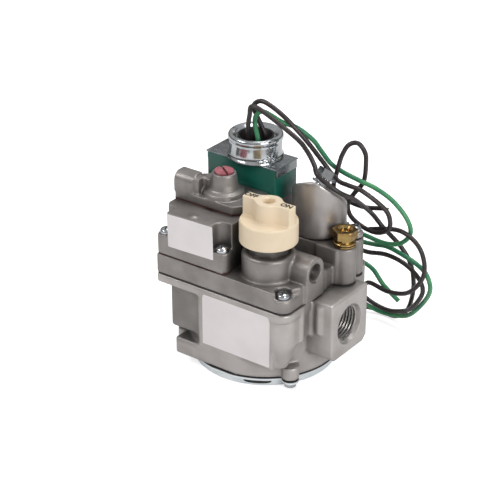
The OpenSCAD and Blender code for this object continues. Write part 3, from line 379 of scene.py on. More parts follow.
LEAD_GREEN = Finish("green insulation", "4c9464", "2c7a58", 0.0, 0.32, 0.42, patch_mm=12, grain_mm=0.5)
BARE_WIRE = Finish("tinned wire", "cfc4bb", "b9aca2", 0.9, 0.25, 0.40, patch_mm=2, grain_mm=0.2)

NODE_FINISHES: dict[Finish, tuple[str, ...]] = {
    CAST_BODY: ("lower_body",),
    CAST_UPPER: ("upper_casting", "regulator_block", "regulator_cover"),
    CAST_DOME: ("magnet_dome",),
    SINTERED: ("stem_bonnet",),
    MAGNET: ("magnet",),
    ZINC: ("corner_screws", "regulator_screws", "cover_bolts", "dome_screws", "bottom_screws", "couple_nut",
           "couple_socket", "conduit_hub"),
    ZINC_SATIN: ("top_plate", "inlet_screen", "lever_pin"),
    ZINC_BLUE: ("bottom_plate",),
    STEEL: ("diaphragm_backing", "valve_disc", "reset_lever", "safety_armature", "regulator_piston",
            "pole_piece", "plunger"),
    SPRING_WIRE: ("main_spring", "stem_spring", "safety_spring", "regulator_spring", "plunger_spring"),
    BRASS: ("pilot_fitting", "pilot_nut"),
    BRASS_INNER: ("valve_stem", "cock_plug", "adjusting_screw", "plunger_tube"),
    CREAM: ("knob",),
    GREY_PLASTIC: ("knob_stem",),
    RED_CAP: ("seal_cap",),
    GREEN_PAINT: ("coil_box",),
    PAPER: ("rating_label", "notice_label"),
    GASKET: ("body_gasket",),
    RED_SHEET: ("regulator_gasket", "regulator_diaphragm"),
    RUBBER: ("main_diaphragm", "valve_pad", "safety_disc", "regulator_pad", "plunger_pad"),
    BUSHING: ("lead_bushing",),
    WINDING: ("coil_winding",),
    LEAD_BLACK: ("lead_black_front", "lead_black_loop"),
    LEAD_GREEN: ("lead_green",),
}


def dress_nodes() -> None:
    """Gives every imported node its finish, which new pieces then share."""
    for finish, names in NODE_FINISHES.items():
        for name in names:
            mesh = frame["nodes"][name].data
            mesh.materials.clear()
            mesh.materials.append(finish.material())


def give_way() -> None:
    """Gives a mesh of its own to each packed spring and diaphragm that has room to shorten with the joint
    that presses it.
    """
    for joint in frame["record"]["behaviour"]["joints"]:
        for entry in joint.get("deforming_nodes", []):
            low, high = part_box(entry["node"])
            travel, length = joint["range_m"][1], high[2] - low[2]
            if length > ROOM_TO_SQUASH * travel:
                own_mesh(frame["nodes"][entry["node"]])
                log.info("%s shortens by %.1f mm", entry["node"], travel / MM)


# ---- modelling helpers ----


@dataclass(frozen=True)
class Box:
    """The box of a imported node, in metres."""

    low: Vector
    high: Vector

    @classmethod
    def of(cls, node: str) -> "Box":
        """The box of a node by its name."""
        return cls(*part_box(node))

    @property
    def middle(self) -> Vector:
        """Centre of the box."""
        return (self.low + self.high) / 2

    @property
    def foot(self) -> Vector:
        """Centre of the underside."""
        return Vector((self.middle.x, self.middle.y, self.low.z))

    @property
    def size(self) -> Vector:
        """Edge lengths of the box."""
        return self.high - self.low


def activate(piece: Object) -> None:
    """Makes a piece the only selected and the active one.

    Args:
        piece: the object to select.
    """
    bpy.ops.object.select_all(action="DESELECT")
    piece.select_set(True)
    bpy.context.view_layer.objects.active = piece


def begin_edit(piece: Object) -> None:
    """Opens a piece in edit mode with nothing selected.

    Args:
        piece: the mesh object to edit.
    """
    activate(piece)
    bpy.ops.object.mode_set(mode="EDIT")
    bpy.ops.mesh.select_mode(type="FACE")
    bpy.ops.mesh.select_all(action="DESELECT")


def end_edit() -> None:
    """Leaves edit mode."""
    bpy.ops.object.mode_set(mode="OBJECT")


def pick_faces(piece: Object, wanted: Callable[[Vector, Vector], bool]) -> None:
    """Selects the faces that a test accepts, in edit mode.

    Args:
        piece: the piece in edit mode.
        wanted: test of a face's centre and normal.
    """
    bpy.ops.mesh.select_mode(type="FACE")
    bpy.ops.mesh.select_all(action="DESELECT")
    mesh = bmesh.from_edit_mesh(piece.data)
    mesh.normal_update()
    for face in [f for f in mesh.faces if wanted(f.calc_center_median(), f.normal)]:
        face.select_set(True)
    bmesh.update_edit_mesh(piece.data)


def pick_edges(piece: Object, wanted: Callable[[Vector, Vector], bool]) -> None:
    """Selects the edges that a test accepts, in edit mode.

    Args:
        piece: the piece in edit mode.
        wanted: test of an edge's two ends.
    """
    bpy.ops.mesh.select_mode(type="EDGE")
    bpy.ops.mesh.select_all(action="DESELECT")
    mesh = bmesh.from_edit_mesh(piece.data)
    for edge in [e for e in mesh.edges if wanted(e.verts[0].co, e.verts[1].co)]:
        edge.select_set(True)
    bmesh.update_edit_mesh(piece.data)


def weld(distance_mm: float) -> None:
    """Merges doubled points of the piece in edit mode."""
    bpy.ops.mesh.select_all(action="SELECT")
    bpy.ops.mesh.remove_doubles(threshold=distance_mm * MM)


def face_outwards() -> None:
    """Turns every face of the piece in edit mode outwards."""
    bpy.ops.mesh.select_all(action="SELECT")
    bpy.ops.mesh.normals_make_consistent(inside=False)


def modify(piece: Object, kind: str, **settings: object) -> None:
    """Adds a modifier and applies it.

    Args:
        piece: the mesh object.
        kind: the modifier's type.
        **settings: the modifier's own settings.
    """
    activate(piece)
    modifier = piece.modifiers.new(kind.title(), kind)
    for key, value in settings.items():
        setattr(modifier, key, value)
    bpy.ops.object.modifier_apply(modifier=modifier.name)


def settle(piece: Object, name: str) -> Object:
    """Names a piece and puts its place into its mesh.

    Args:
        piece: the mesh object.
        name: its new name.

    Returns:
        The same piece.
    """
    activate(piece)
    bpy.ops.object.transform_apply(location=True, rotation=True, scale=True)
    piece.name = name
    piece.data.name = name
    return piece


def smooth(piece: Object, angle_deg: float = 35.0) -> None:
    """Smooth shading with sharp edges past an angle."""
    activate(piece)
    bpy.ops.object.shade_smooth_by_angle(angle=math.radians(angle_deg))


def join(pieces: Iterable[Object], name: str) -> Object:
    """Joins pieces into one mesh object.

    Args:
        pieces: the pieces, the first of which stays.
        name: the name of the whole.

    Returns:
        The joined piece.
    """
    pieces = list(pieces)
    activate(pieces[0])
    for piece in pieces[1:]:
        piece.select_set(True)
    if len(pieces) > 1:
        bpy.ops.object.join()
    return settle(pieces[0], name)


def clone(piece: Object, name: str) -> Object:
    """A copy with a mesh of its own.

    Args:
        piece: the object to copy.
        name: the copy's name.

    Returns:
        The copy.
    """
    copy = piece.copy()
    copy.data = piece.data.copy()
    copy.parent = None
    for key in [k for k in copy.keys() if k.startswith("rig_")]:
        del copy[key]
    bpy.context.scene.collection.objects.link(copy)
    copy.name = name
    return copy


def place(piece: Object, origin: Vector, way: Vector = UP) -> Object:
    """Turns a piece from +Z to a direction, moves it to a point and applies both.

    Args:
        piece: the piece, made about the origin.
        origin: where its origin goes, in metres.
        way: where its +Z points.

    Returns:
        The same piece.
    """
    turn = UP.rotation_difference(way.normalized()).to_matrix().to_4x4()
    piece.matrix_world = Matrix.Translation(origin) @ turn @ piece.matrix_world
    return settle(piece, piece.name)


def rod(radius: float, low: float, high: float, sides: int = 48) -> Object:
    """Upright cylinder about the Z axis.

    Args:
        radius: its radius, in millimetres.
        low: where it starts, in millimetres.
        high: where it ends, in millimetres.
        sides: how many faces go round.

    Returns:
        The cylinder.
    """
    bpy.ops.mesh.primitive_cylinder_add(
        vertices=sides, radius=radius * MM, depth=(high - low) * MM,
        location=(0, 0, (low + high) / 2 * MM), end_fill_type="NGON",
    )
    return settle(bpy.context.object, "rod")


def slab(low: Vector, high: Vector) -> Object:
    """Box between two corners.

    Args:
        low: its lower corner, in metres.
        high: its upper corner, in metres.

    Returns:
        The box.
    """
    bpy.ops.mesh.primitive_cube_add(size=1, location=(low + high) / 2)
    made = bpy.context.object
    made.scale = high - low
    return settle(made, "slab")


def soft_slab(low: Corner, high: Corner, bevel: float, turn_deg: float) -> Object:
    """Box about the origin with rounded edges, turned about Z.

    Args:
        low: its lower corner, in millimetres.
        high: its upper corner, in millimetres.
        bevel: the rounding of its edges, in millimetres, or 0 for none.
        turn_deg: how far it is turned.

    Returns:
        The box.
    """
    made = slab(Vector(low) * MM, Vector(high) * MM)
    if bevel > 0:
        modify(made, "BEVEL", width=bevel * MM, segments=3)
    made.rotation_euler.z = math.radians(turn_deg)
    return settle(made, "soft_slab")


def turned(profile: Sequence[Turn], name: str, steps: int = 72) -> Object:
    """Turns a closed outline about the Z axis.

    Args:
        profile: radius and height of each corner, in millimetres, in order.
        name: the piece's name.
        steps: how many faces go round.

    Returns:
        The turned piece, about the origin.
    """
    bpy.ops.mesh.primitive_circle_add(vertices=len(profile), radius=1 * MM)
    piece = bpy.context.object
    for vertex, (radius, height) in zip(piece.data.vertices, profile):
        vertex.co = (radius * MM, 0, height * MM)
    begin_edit(piece)
    bpy.ops.mesh.select_all(action="SELECT")
    bpy.ops.mesh.spin(steps=steps, angle=math.tau, center=(0, 0, 0), axis=(0, 0, 1))
    weld(SEAM_WELD)
    face_outwards()
    end_edit()
    return settle(piece, name)


def carve(piece: Object, cutter: Object) -> None:
    """Cuts one piece out of another and removes the cutter."""
    modify(piece, "BOOLEAN", object=cutter, operation="DIFFERENCE", solver="EXACT")
    bpy.data.objects.remove(cutter)


def welded_copy(node: str, name: str) -> Object:
    """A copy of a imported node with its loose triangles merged.

    Args:
        node: the node's name.
        name: the copy's name.

    Returns:
        The copy.
    """
    piece = clone(frame["nodes"][node], name)
    begin_edit(piece)
    weld(NODE_WELD)
    end_edit()
    return piece


def softened(piece: Object, extras: Sequence[Object], voxel: float,
             rounds: int) -> Object:
    """One soft skin over a piece and further shapes.

    Args:
        piece: the piece that stays.
        extras: shapes that melt into it.
        voxel: the grain of the skin, in millimetres.
        rounds: how often the skin is smoothed.

    Returns:
        The skin.
    """
    skin = join([piece, *extras], piece.name)
    modify(skin, "REMESH", mode="VOXEL", voxel_size=voxel * MM, adaptivity=0.0)
    modify(skin, "SMOOTH", factor=0.5, iterations=rounds)
    return skin


def finish_piece(piece: Object, finish: Finish, body: str,
                 nodes: tuple[str, ...] = ()) -> Object:
    """Dresses a piece, hangs it on its body and lets it stand for its nodes.

    Args:
        piece: the finished mesh.
        finish: its surface.
        body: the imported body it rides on.
        nodes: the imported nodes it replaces.

    Returns:
        The same piece.
    """
    piece.data.materials.clear()
    piece.data.materials.append(finish.material())
    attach(piece, body)
    if nodes:
        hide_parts(*nodes)
    log.info("%s: %d faces, %s", piece.name, len(piece.data.polygons), finish.name)
    return piece


def islands(node: str) -> list[Box]:
    """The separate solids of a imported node, as boxes.

    Args:
        node: the node's name.

    Returns:
        One box for each solid, sorted by place.
    """
    scratch = clone(frame["nodes"][node], "scratch")
    begin_edit(scratch)
    weld(NODE_WELD)
    left = set(bmesh.from_edit_mesh(scratch.data).verts)
    boxes = []
    while left:
        group, queue = [], [left.pop()]
        while queue:
            vertex = queue.pop()
            group.append(vertex.co.copy())
            near = [e.other_vert(vertex) for e in vertex.link_edges]
            fresh = [v for v in near if v in left]
            left.difference_update(fresh)
            queue.extend(fresh)
        low = Vector(min(c[i] for c in group) for i in range(3))
        high = Vector(max(c[i] for c in group) for i in range(3))
        boxes.append(Box(low, high))
    end_edit()
    bpy.data.objects.remove(scratch)
    return sorted(boxes, key=lambda b: tuple(round(c, 4) for c in b.middle))


# ---- studio ----


@dataclass
class Studio:
    """Camera, soft light, pale floor and white background.

    Each lamp has its name, its place and its width in metres, and its power. The sky's tones run
    from straight down at 0 to straight up at 1.
    """

    camera_at: Corner = (448.28, -627.14, 459.64)
    looks_at: Corner = (20.02, -42.0, 85.38)
    lens: float = 115.2
    sensor: float = 36.0
    nearest_m: float = 0.01
    lamps: tuple[tuple[str, Corner, float, float], ...] = (
        ("key", (-0.55, -0.75, 0.95), 0.55, 4.6),
        ("side", (1.05, -0.35, 0.45), 0.6, 6.2),
        ("top", (0.1, 0.35, 1.2), 0.7, 5.0),
    )
    lamp_aim_m: Corner = (0, 0, 0.06)
    lamp_share: float = 0.6
    sky: tuple[Stop, ...] = (
        (0.40, "8f8c8a"), (0.80, "ffffff"), (0.48, "55524f"), (0.58, "6a6765"), (0.64, "e4e2e0"),
    )
    sky_power: float = 0.5
    floor_m: float = 6.0
    floor_drop: float = 0.05
    floor_grey: float = 0.82
    floor_lift: float = 0.62

    def aimed(self, name: str, data: bpy.types.ID, at: Vector, aim: Vector) -> Object:
        """Hangs a camera or a lamp at a point and turns it to another.

        Args:
            name: the object's name.
            data: the camera or the lamp.
            at: where it hangs, in metres.
            aim: what it faces, in metres.

        Returns:
            The object.
        """
        made = bpy.data.objects.new(name, data)
        bpy.context.scene.collection.objects.link(made)
        made.location = at
        made.rotation_euler = (aim - at).to_track_quat("-Z", "Y").to_euler()
        return made

    def camera(self) -> None:
        """Puts the camera where the valve fills the frame at its own angle."""
        data = bpy.data.cameras.new("camera")
        data.lens = self.lens
        data.sensor_width = self.sensor
        data.clip_start = self.nearest_m
        bpy.context.scene.camera = self.aimed(
            "camera", data, Vector(self.camera_at) * MM, Vector(self.looks_at) * MM)

    def lights(self) -> None:
        """Three soft lamps that face the valve."""
        for name, at, size, power in self.lamps:
            data = bpy.data.lights.new(name, "AREA")
            data.shape = "RECTANGLE"
            data.size = size
            data.size_y = size * self.lamp_share
            data.energy = power
            self.aimed(name, data, Vector(at), Vector(self.lamp_aim_m))

    def world(self) -> None:
        """White for the camera, and a pale sky that is darker low down, which metal mirrors."""
        world = bpy.data.worlds.new("studio")
        bpy.context.scene.world = world
        tree = bare_tree(world)
        way = add_node(tree, "TexCoord").outputs["Generated"]
        height = add_node(tree, "SeparateXYZ", {"Vector": way}).outputs["Z"]
        span = add_node(tree, "MapRange", {"Value": height, "From Min": -1.0})
        colour = add_ramp(tree, span.outputs["Result"], self.sky)
        around = add_node(tree, "Background", {"Color": colour, "Strength": self.sky_power})
        white = add_node(tree, "Background", {"Color": (1, 1, 1, 1), "Strength": 1.0})
        end_by_ray(tree, "World", around.outputs["Background"], white.outputs["Background"])

    def floor(self) -> None:
        """A pale floor that runs out to white and keeps a soft shadow."""
        bpy.ops.mesh.primitive_plane_add(size=self.floor_m, location=(0, 0, -self.floor_drop * MM))
        ground = settle(bpy.context.object, "floor")
        paint = bpy.data.materials.new("pale floor")
        tree = bare_tree(paint)
        matt = add_node(tree, "BsdfDiffuse", {"Color": (*[self.floor_grey] * 3, 1)}).outputs["BSDF"]
        lift = add_node(tree, "Emission", {"Strength": self.floor_lift}).outputs["Emission"]
        glow = add_node(tree, "AddShader", {0: matt, 1: lift}).outputs["Shader"]
        end_by_ray(tree, "Material", matt, glow)
        ground.data.materials.append(paint)

    def build(self) -> None:
        """Camera first, then lights, sky and floor."""
        bpy.context.scene.view_settings.view_transform = "Standard"
        self.camera()
        self.lights()
        self.world()
        self.floor()


# ---- leads ----

FRONT_ROUTE: list[Corner] = [
    (-18, 8, 112.6), (-18, 8, 117), (-18, 8, 122), (-17, 8, 133), (-13, 8, 139.5),
    (12, 8, 129), (20, 8, 123), (25, 8, 116), (27, 8, 111), (33.5, 9, 106.5),
    (39, 13, 101.5), (41, 24, 94), (39, 44, 78), (44, 49, 68.5), (52, 54, 58),
    (58, 56, 48), (59, 59, 35), (56, 63, 21.5), (50, 68, 9.5), (42, 70, 2.5), (30, 70.7, 2.5),
    (16, 65, 6), (11, 60, 20), (19, 57, 43), (34, 53, 48.5), (46, 51, 51.5),
    (58, 50, 50), (67, 50, 44), (69, 52, 35), (61.5, 56.5, 22), (52, 62, 13), (38, 65, 8),
    (24, 64, 13), (30, 58, 26), (46, 54, 27), (62, 49, 34), (73, 45, 50), (71, 43, 66),
    (57, 45, 72), (38, 44, 68),
]
LOOP_ROUTE: list[Corner] = [
    (-12, 15, 112.6), (-12, 15, 117), (-12, 15, 122), (-16, 14, 131), (-18, 13, 137),
    (-14, 13, 140.9), (-8, 13, 140.5), (2, 14, 135), (12, 19, 123), (18, 26, 110),
    (25, 30, 99.5), (33, 30, 98), (41, 31, 96.5), (51, 38, 86), (54, 39, 79),
    (52, 40, 73), (45, 40, 69.5), (36, 40, 70.5), (28, 40, 75), (25, 42, 81),
    (29, 42, 88), (34, 43, 96), (35, 43, 108), (34.5, 42, 114), (31, 40.5, 118.5),
    (26.5, 38.5, 117), (24, 36, 111), (23, 33.5, 103), (20, 35, 94), (18, 40, 86),
    (22, 46, 80), (32, 48, 78), (46, 46, 82),
]
GREEN_ROUTE: list[Corner] = [
    (-12, 9, 112.6), (-12, 9, 117), (-12, 9, 121), (-15.5, 11, 128), (-14.5, 11, 133.5),
    (-9.5, 11, 136.5), (0, 14, 132), (6, 20, 128), (12, 26, 120.5), (14, 31, 113),
    (18, 35, 105), (25, 37, 101), (34, 38, 98.5), (43, 41, 95), (52, 44, 89),
    (60, 46, 80), (62, 47.5, 71), (56, 48, 63), (46, 48, 60), (34, 48, 61), (24, 51, 60),
    (20, 57, 56), (24, 58, 51), (34, 55, 53), (45, 52, 56), (56, 49, 56), (65, 48, 54),
    (72, 48, 50), (74.9, 49, 43), (73, 52, 35), (66, 57, 24), (56, 62, 12), (46, 65, 6.5),
    (32, 66, 5), (20, 62, 12), (16, 58, 26), (22, 57, 38), (32, 58, 36), (40, 58, 28),
    (50, 59, 20),
]


@dataclass
class Lead:
    """One insulated lead that leaves the conduit hub and lies loose behind the valve."""

    name: str
    node: str
    route: list[Corner]
    length_m: float
    finish: Finish
    slot: str
    diameter: float = 2.6
    tip: bool = False
    ease: float = 6.0
    tip_outline: tuple[Turn, ...] = ((0, -1), (0.55, -1), (0.6, 2.6), (0.45, 3.0), (0, 3.0))

    def build(self) -> Object:
        """Returns:
            The curve.
        """
        data = bpy.data.curves.new(self.name, "CURVE")
        data.dimensions = "3D"
        data.resolution_u = 8
        data.bevel_depth = self.diameter / 2 * MM
        data.bevel_resolution = 5
        data.use_fill_caps = True
        spline = data.splines.new("BEZIER")
        spline.bezier_points.add(len(self.route) - 1)
        points = [Vector(p) * MM for p in self.route]
        last = len(points) - 1
        for i, (knot, point) in enumerate(zip(spline.bezier_points, points)):
            lean = (points[min(i + 1, last)] - points[max(i - 1, 0)]) / self.ease
            knot.co = point
            knot.handle_left = point - lean
            knot.handle_right = point + lean
        lead = bpy.data.objects.new(self.name, data)
        bpy.context.scene.collection.objects.link(lead)
        data.materials.append(self.finish.material())
        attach(lead, "housing")
        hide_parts(self.node)
        extra = [self.bare_tip(points[last - 1], points[last])] if self.tip else []
        log.info("%s: %.0f mm of lead", self.name, self.length_m * 1000)
        return lead

    def bare_tip(self, before: Vector, end: Vector) -> Object:
        """The stripped wire at the far end.

        Args:
            before: the last point but one, in metres.
            end: the last point, in metres.

        Returns:
            The wire.
        """
        way = (end - before).normalized()
        wire = turned(self.tip_outline, self.name + "_tip", 20)
        place(wire, end, way)
        smooth(wire)
        return finish_piece(wire, BARE_WIRE, "housing")


LEADS = (
    Lead("lead_front_cord", "lead_black_front", FRONT_ROUTE, 0.543, LEAD_BLACK, "lead_black"),
    Lead("lead_loop_cord", "lead_black_loop", LOOP_ROUTE, 0.293, LEAD_BLACK, "lead_black", tip=True),
    Lead("lead_green_cord", "lead_green", GREEN_ROUTE, 0.403, LEAD_GREEN, "lead_green"),
)


# ---- castings ----


def mount_of(name: str) -> dict:
    """The record's entry of a mount."""
    return next(m for m in frame["record"]["mounts"] if m["name"] == name)


def bore_port(piece: Object, name: str, wider: float, mouth: float) -> None:
    """Bores a port out to the roots of its thread, with a chamfered mouth.

    Args:
        piece: the casting.
        name: the mount that the port is.
        wider: how far the roots stand back from the stated wall, in millimetres.
        mouth: how far the chamfer opens past the stated wall, in millimetres.
    """
    mount = mount_of(name)
    wall = mount["dims"]["r_mm"]
    half = mount["dims"]["length_mm"] / 2
    root = wall + wider
    cutter = turned([(0, -half), (wall, -half), (root, -half + 0.8), (root, half - 0.2),
                     (wall + mouth, half + 0.9), (wall + mouth, half + 3), (0, half + 3)], "bore", 72)
    carve(piece, place(cutter, Vector(mount["pos_m"]), Vector(mount["axis"])))


@dataclass
class Casting:
    """A packed casting rebuilt with the soft edges and hollow corners of a die casting."""

    node: str
    finish: Finish
    slot: str
    voxel: float = 0.7
    rounds: int = 4

    def extras(self) -> list[Object]:
        """Further shapes that melt into the casting."""
        return []

    def after(self, piece: Object) -> None:
        """Crisp cuts made once the skin is soft."""

    def build(self) -> Object:
        """Joins the casting and its extras into one skin and softens it.

        Returns:
            The finished casting.
        """
        copy = welded_copy(self.node, self.node + "_cast")
        piece = softened(copy, self.extras(), self.voxel, self.rounds)
        self.after(piece)
        smooth(piece, 180)
        return finish_piece(piece, self.finish, "housing", (self.node,))


@dataclass
class LowerBody(Casting):
    """The lower casting, with the ribs at its outlet corner and both pipe ports.

    Each rib is given by how far it stands in from the right and from the front, and by its length.
    """

    rib_r: float = 2.6
    rib_drop: float = 2.0
    ribs: tuple[Corner, ...] = ((15.2, 16.5, 20.0), (8.5, 25.4, 17.0))
    root_back: float = 0.85
    mouth_out: float = 1.9

    def extras(self) -> list[Object]:
        """Upright ribs beside the outlet block.

        Returns:
            The ribs.
        """
        body = Box.of(self.node)
        top = Box.of("body_gasket").low.z - self.rib_drop * MM
        made = []
        for in_right, in_front, length in self.ribs:
            foot = Vector((body.high.x - in_right * MM, body.low.y + in_front * MM, top - length * MM))
            made.append(place(rod(self.rib_r, 0, length), foot))
        return made

    def after(self, piece: Object) -> None:
        """Both pipe ports are bored out crisply, a little wider than the crests of their threads."""
        for name in ("outlet", "inlet"):
            bore_port(piece, name, self.root_back, self.mouth_out)


@dataclass
class UpperCasting(Casting):
    """The upper casting, with the skirt of its knob boss, the web to the side tap and a parting line."""

    flange_h: float = 11.2
    gusset_ahead: float = 2.0
    gusset_t: float = 4.8
    gusset_h: float = 7.0
    gusset_stop: float = 13.0
    line_from: float = 13.6
    line_to: float = 14.8
    line_half: float = 0.5
    line_h: float = 11.0
    boss_r: float = 14.1
    boss_bore: float = 12.0
    bonnet_rise: float = 4.2
    root_back: float = 0.4
    mouth_out: float = 0.9

    def extras(self) -> list[Object]:
        """Gusset, the thin parting line down the knob boss, and the rounded skirt of the boss.

        Returns:
            The three shapes.
        """
        boss = Box.of("cock_plug").middle
        tap = Box.of(self.node).high
        top = Box.of("body_gasket").high.z + self.flange_h * MM
        foot = Vector((boss.x, boss.y, top))
        front, back = self.gusset_ahead * MM, (self.gusset_ahead + self.gusset_t) * MM
        gusset = slab(foot + Vector((0, front, -1 * MM)),
                      Vector((tap.x - self.gusset_stop * MM, boss.y + back, top + self.gusset_h * MM)))
        line = slab(foot + Vector((self.line_from, -self.line_half, -1)) * MM,
                    foot + Vector((self.line_to, self.line_half, self.line_h)) * MM)
        high = Box.of("stem_bonnet").high.z / MM - self.bonnet_rise - top / MM
        bore, edge = self.boss_bore, self.boss_r
        skirt = turned([(bore, -1), (edge, -1), (edge, high - 3.6), (edge - 0.4, high - 2.0),
                        (edge - 1.3, high - 0.7), (bore, high - 0.3)], "skirt")
        place(skirt, foot)
        return [gusset, line, skirt]

    def after(self, piece: Object) -> None:
        """The tap hole is bored out crisply."""
        bore_port(piece, "pressure_tap", self.root_back, self.mouth_out)


@dataclass
class RegulatorBlock(Casting):
    """The regulator block, with the round bump on its front edge."""

    bump_r: float = 2.0
    bump_h: float = 0.8
    bump_in: tuple[float, float] = (22.4, 5.0)

    def extras(self) -> list[Object]:
        """The small bump on the top face.

        Returns:
            The bump alone.
        """
        block = Box.of(self.node)
        foot = Vector((block.low.x + self.bump_in[0] * MM, block.low.y + self.bump_in[1] * MM, block.high.z))
        return [place(rod(self.bump_r, -1, self.bump_h, 24), foot)]


@dataclass
class RegulatorCover(Casting):
    """The regulator cover with its spring tower and the hooded boss."""

    plate_t: float = 4.8
    knuckle_low: tuple[float, float] = (11.6, 1.5)
    knuckle_high: Corner = (15.6, 8.2, 8.8)
    web_from: float = 14.0
    web_ahead: float = 5.2
    web_behind: float = 4.5
    web_h: float = 8.2
    rail: tuple[Turn, ...] = ((9.2, -1), (11.4, -1), (11.4, 1.3), (10.6, 2.0), (9.2, 2.0))
    cone: tuple[Turn, ...] = (
        (5.6, 1), (8.8, 1), (8.2, 3.4), (7.3, 6.5), (6.6, 12.2), (6.3, 12.4), (5.6, 12.4),
    )

    def extras(self) -> list[Object]:
        """The knuckle beside the hood, the web to the tower, the tower's foot ring and its taper.

        Returns:
            The four shapes.
        """
        cover = Box.of(self.node)
        cap = Box.of("seal_cap").middle
        top = cover.low.z + self.plate_t * MM
        knuckle = slab(
            Vector((cover.low.x + self.knuckle_low[0] * MM, cover.low.y + self.knuckle_low[1] * MM, top)),
            Vector((cover.low.x, cover.low.y, top)) + Vector(self.knuckle_high) * MM)
        web = slab(Vector((cover.low.x + self.web_from * MM, cap.y - self.web_ahead * MM, top)),
                   Vector((cap.x, cap.y + self.web_behind * MM, top + self.web_h * MM)))
        rail, cone = (place(turned(outline, "tower_ring"), Vector((cap.x, cap.y, top)))
                      for outline in (self.rail, self.cone))
        return [knuckle, web, rail, cone]


@dataclass
class Castings:
    """All the castings of the valve."""

    def build(self) -> None:
        """Makes each casting in turn."""
        for casting in (
            LowerBody("lower_body", CAST_BODY, "body_casting", 0.8),
            UpperCasting("upper_casting", CAST_UPPER, "upper_casting", 0.7),
            RegulatorBlock("regulator_block", CAST_UPPER, "block_casting", 0.6),
            RegulatorCover("regulator_cover", CAST_UPPER, "cover_casting", 0.5),
            Casting("magnet_dome", CAST_DOME, "dome_casting", 0.6, 48),
        ):
            casting.build()


# ---- threads, screws and small fittings ----


@dataclass
class PortThread:
    """The visible thread inside a pipe port or a tapped hole, which widens in the chamfered mouth."""

    name: str
    mount: str
    pitch: float
    root: float
    depth: float
    finish: Finish
    slot: str
    tooth_share: float = 0.92
    run_out: float = 0.35
    widens_at: float = 0.6
    widening: float = 0.9
    steps: int = 48

    def build(self) -> Object:
        """Winds one tooth along the wall of the hole.

        Returns:
            The thread.
        """
        mount = mount_of(self.mount)
        wall = mount["dims"]["r_mm"]
        length = mount["dims"]["length_mm"]
        turns = int(length / self.pitch)
        start = length / 2 - self.pitch * (turns + self.run_out)
        root = wall + self.root
        corners = ((root, start), (root, start + self.pitch * self.tooth_share),
                   (root - self.depth, start + self.pitch * self.tooth_share / 2))
        bpy.ops.mesh.primitive_circle_add(vertices=len(corners), radius=1 * MM)
        tooth = bpy.context.object
        for vertex, (radius, height) in zip(tooth.data.vertices, corners):
            vertex.co = (radius * MM, 0, height * MM)
        modify(tooth, "SCREW", axis="Z", angle=math.tau * turns, screw_offset=self.pitch * turns * MM,
               steps=self.steps * turns, render_steps=self.steps * turns, use_normal_calculate=True)
        begin_edit(tooth)
        weld(SEAM_WELD)
        bpy.ops.mesh.select_mode(type="EDGE")
        bpy.ops.mesh.select_all(action="DESELECT")
        bpy.ops.mesh.select_non_manifold()
        bpy.ops.mesh.edge_face_add()
        face_outwards()
        end_edit()
        mouth = length / 2 - self.pitch * self.widens_at
        for vertex in tooth.data.vertices:
            out = 1 + max(0.0, vertex.co.z / MM - mouth) * self.widening / wall
            vertex.co.x *= out
            vertex.co.y *= out
        tooth.name = self.name
        place(tooth, Vector(mount["pos_m"]), Vector(mount["axis"]))
        smooth(tooth, 40)
        return finish_piece(tooth, self.finish, "housing")


@dataclass
class PanScrews:
    """Domed screws with a cross recess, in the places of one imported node."""

    node: str
    recess: float = 2.3
    blade: float = 0.75
    recess_depth: float = 1.5
    height: float = 3.0
    rim_share: float = 0.42
    shank_r: float = 1.6
    edge: float = 0.25
    turn_deg: float = 20.0

    def head(self, radius: float, shank: float) -> Object:
        """One screw that stands on Z = 0, shank down.

        Args:
            radius: the head's radius, in millimetres.
            shank: the shank's length, in millimetres.

        Returns:
            The screw.
        """
        rim = self.height * self.rim_share
        arc = [(radius * math.cos(a), rim + (self.height - rim) * math.sin(a))
               for a in (math.radians(d) for d in range(0, 91, 15))]
        screw = turned([(0, -shank), (self.shank_r, -shank), (self.shank_r, 0), (radius - self.edge, 0),
                        (radius, self.edge), *arc], "screw", 40)
        for turn in (0, 90):
            carve(screw, soft_slab((-self.recess, -self.blade / 2, self.height - self.recess_depth),
                                   (self.recess, self.blade / 2, self.height + 1), 0, turn + self.turn_deg))
        return screw

    def build(self) -> Object:
        """Makes the screw at each place of the node.

        Returns:
            The joined screws.
        """
        made = []
        for spot in islands(self.node):
            shank = spot.size.z / MM - self.height
            screw = self.head(spot.size.x / 2 / MM, shank)
            made.append(place(screw, Vector((spot.middle.x, spot.middle.y, spot.low.z + shank * MM))))
        piece = join(made, self.node + "_heads")
        smooth(piece, 30)
        return finish_piece(piece, ZINC, "housing", (self.node,))


@dataclass
class HexNut:
    """A hexagon nut with its corners turned down, about a bore, with a countersink and a hollow foot."""

    flats: float
    height: float
    bore: float
    sink: tuple[Turn, Turn]
    foot_bore: tuple[float, float]
    sink_steps: int

    def build(self, name: str) -> Object:
        """The nut, standing on Z = 0.

        Args:
            name: the nut's name.

        Returns:
            The nut.
        """
        crown = self.flats / math.sqrt(3)
        nut = rod(crown, 0, self.height, 6)
        cone = turned([(0, -0.1), (crown - 0.5, -0.1), (crown + 0.2, 0.45), (crown + 0.2, self.height - 0.45),
                       (crown - 0.7, self.height + 0.1), (0, self.height + 0.1)], "crown", 60)
        modify(nut, "BOOLEAN", object=cone, operation="INTERSECT", solver="EXACT")
        bpy.data.objects.remove(cone)
        carve(nut, rod(self.bore, -1, self.height + 1, 48))
        nut.name = name
        low, high = self.sink
        carve(nut, turned([(0, low[1]), low, high, (0, high[1])], "mouth", self.sink_steps))
        carve(nut, rod(self.foot_bore[0], -1, self.foot_bore[1], self.sink_steps))
        return nut


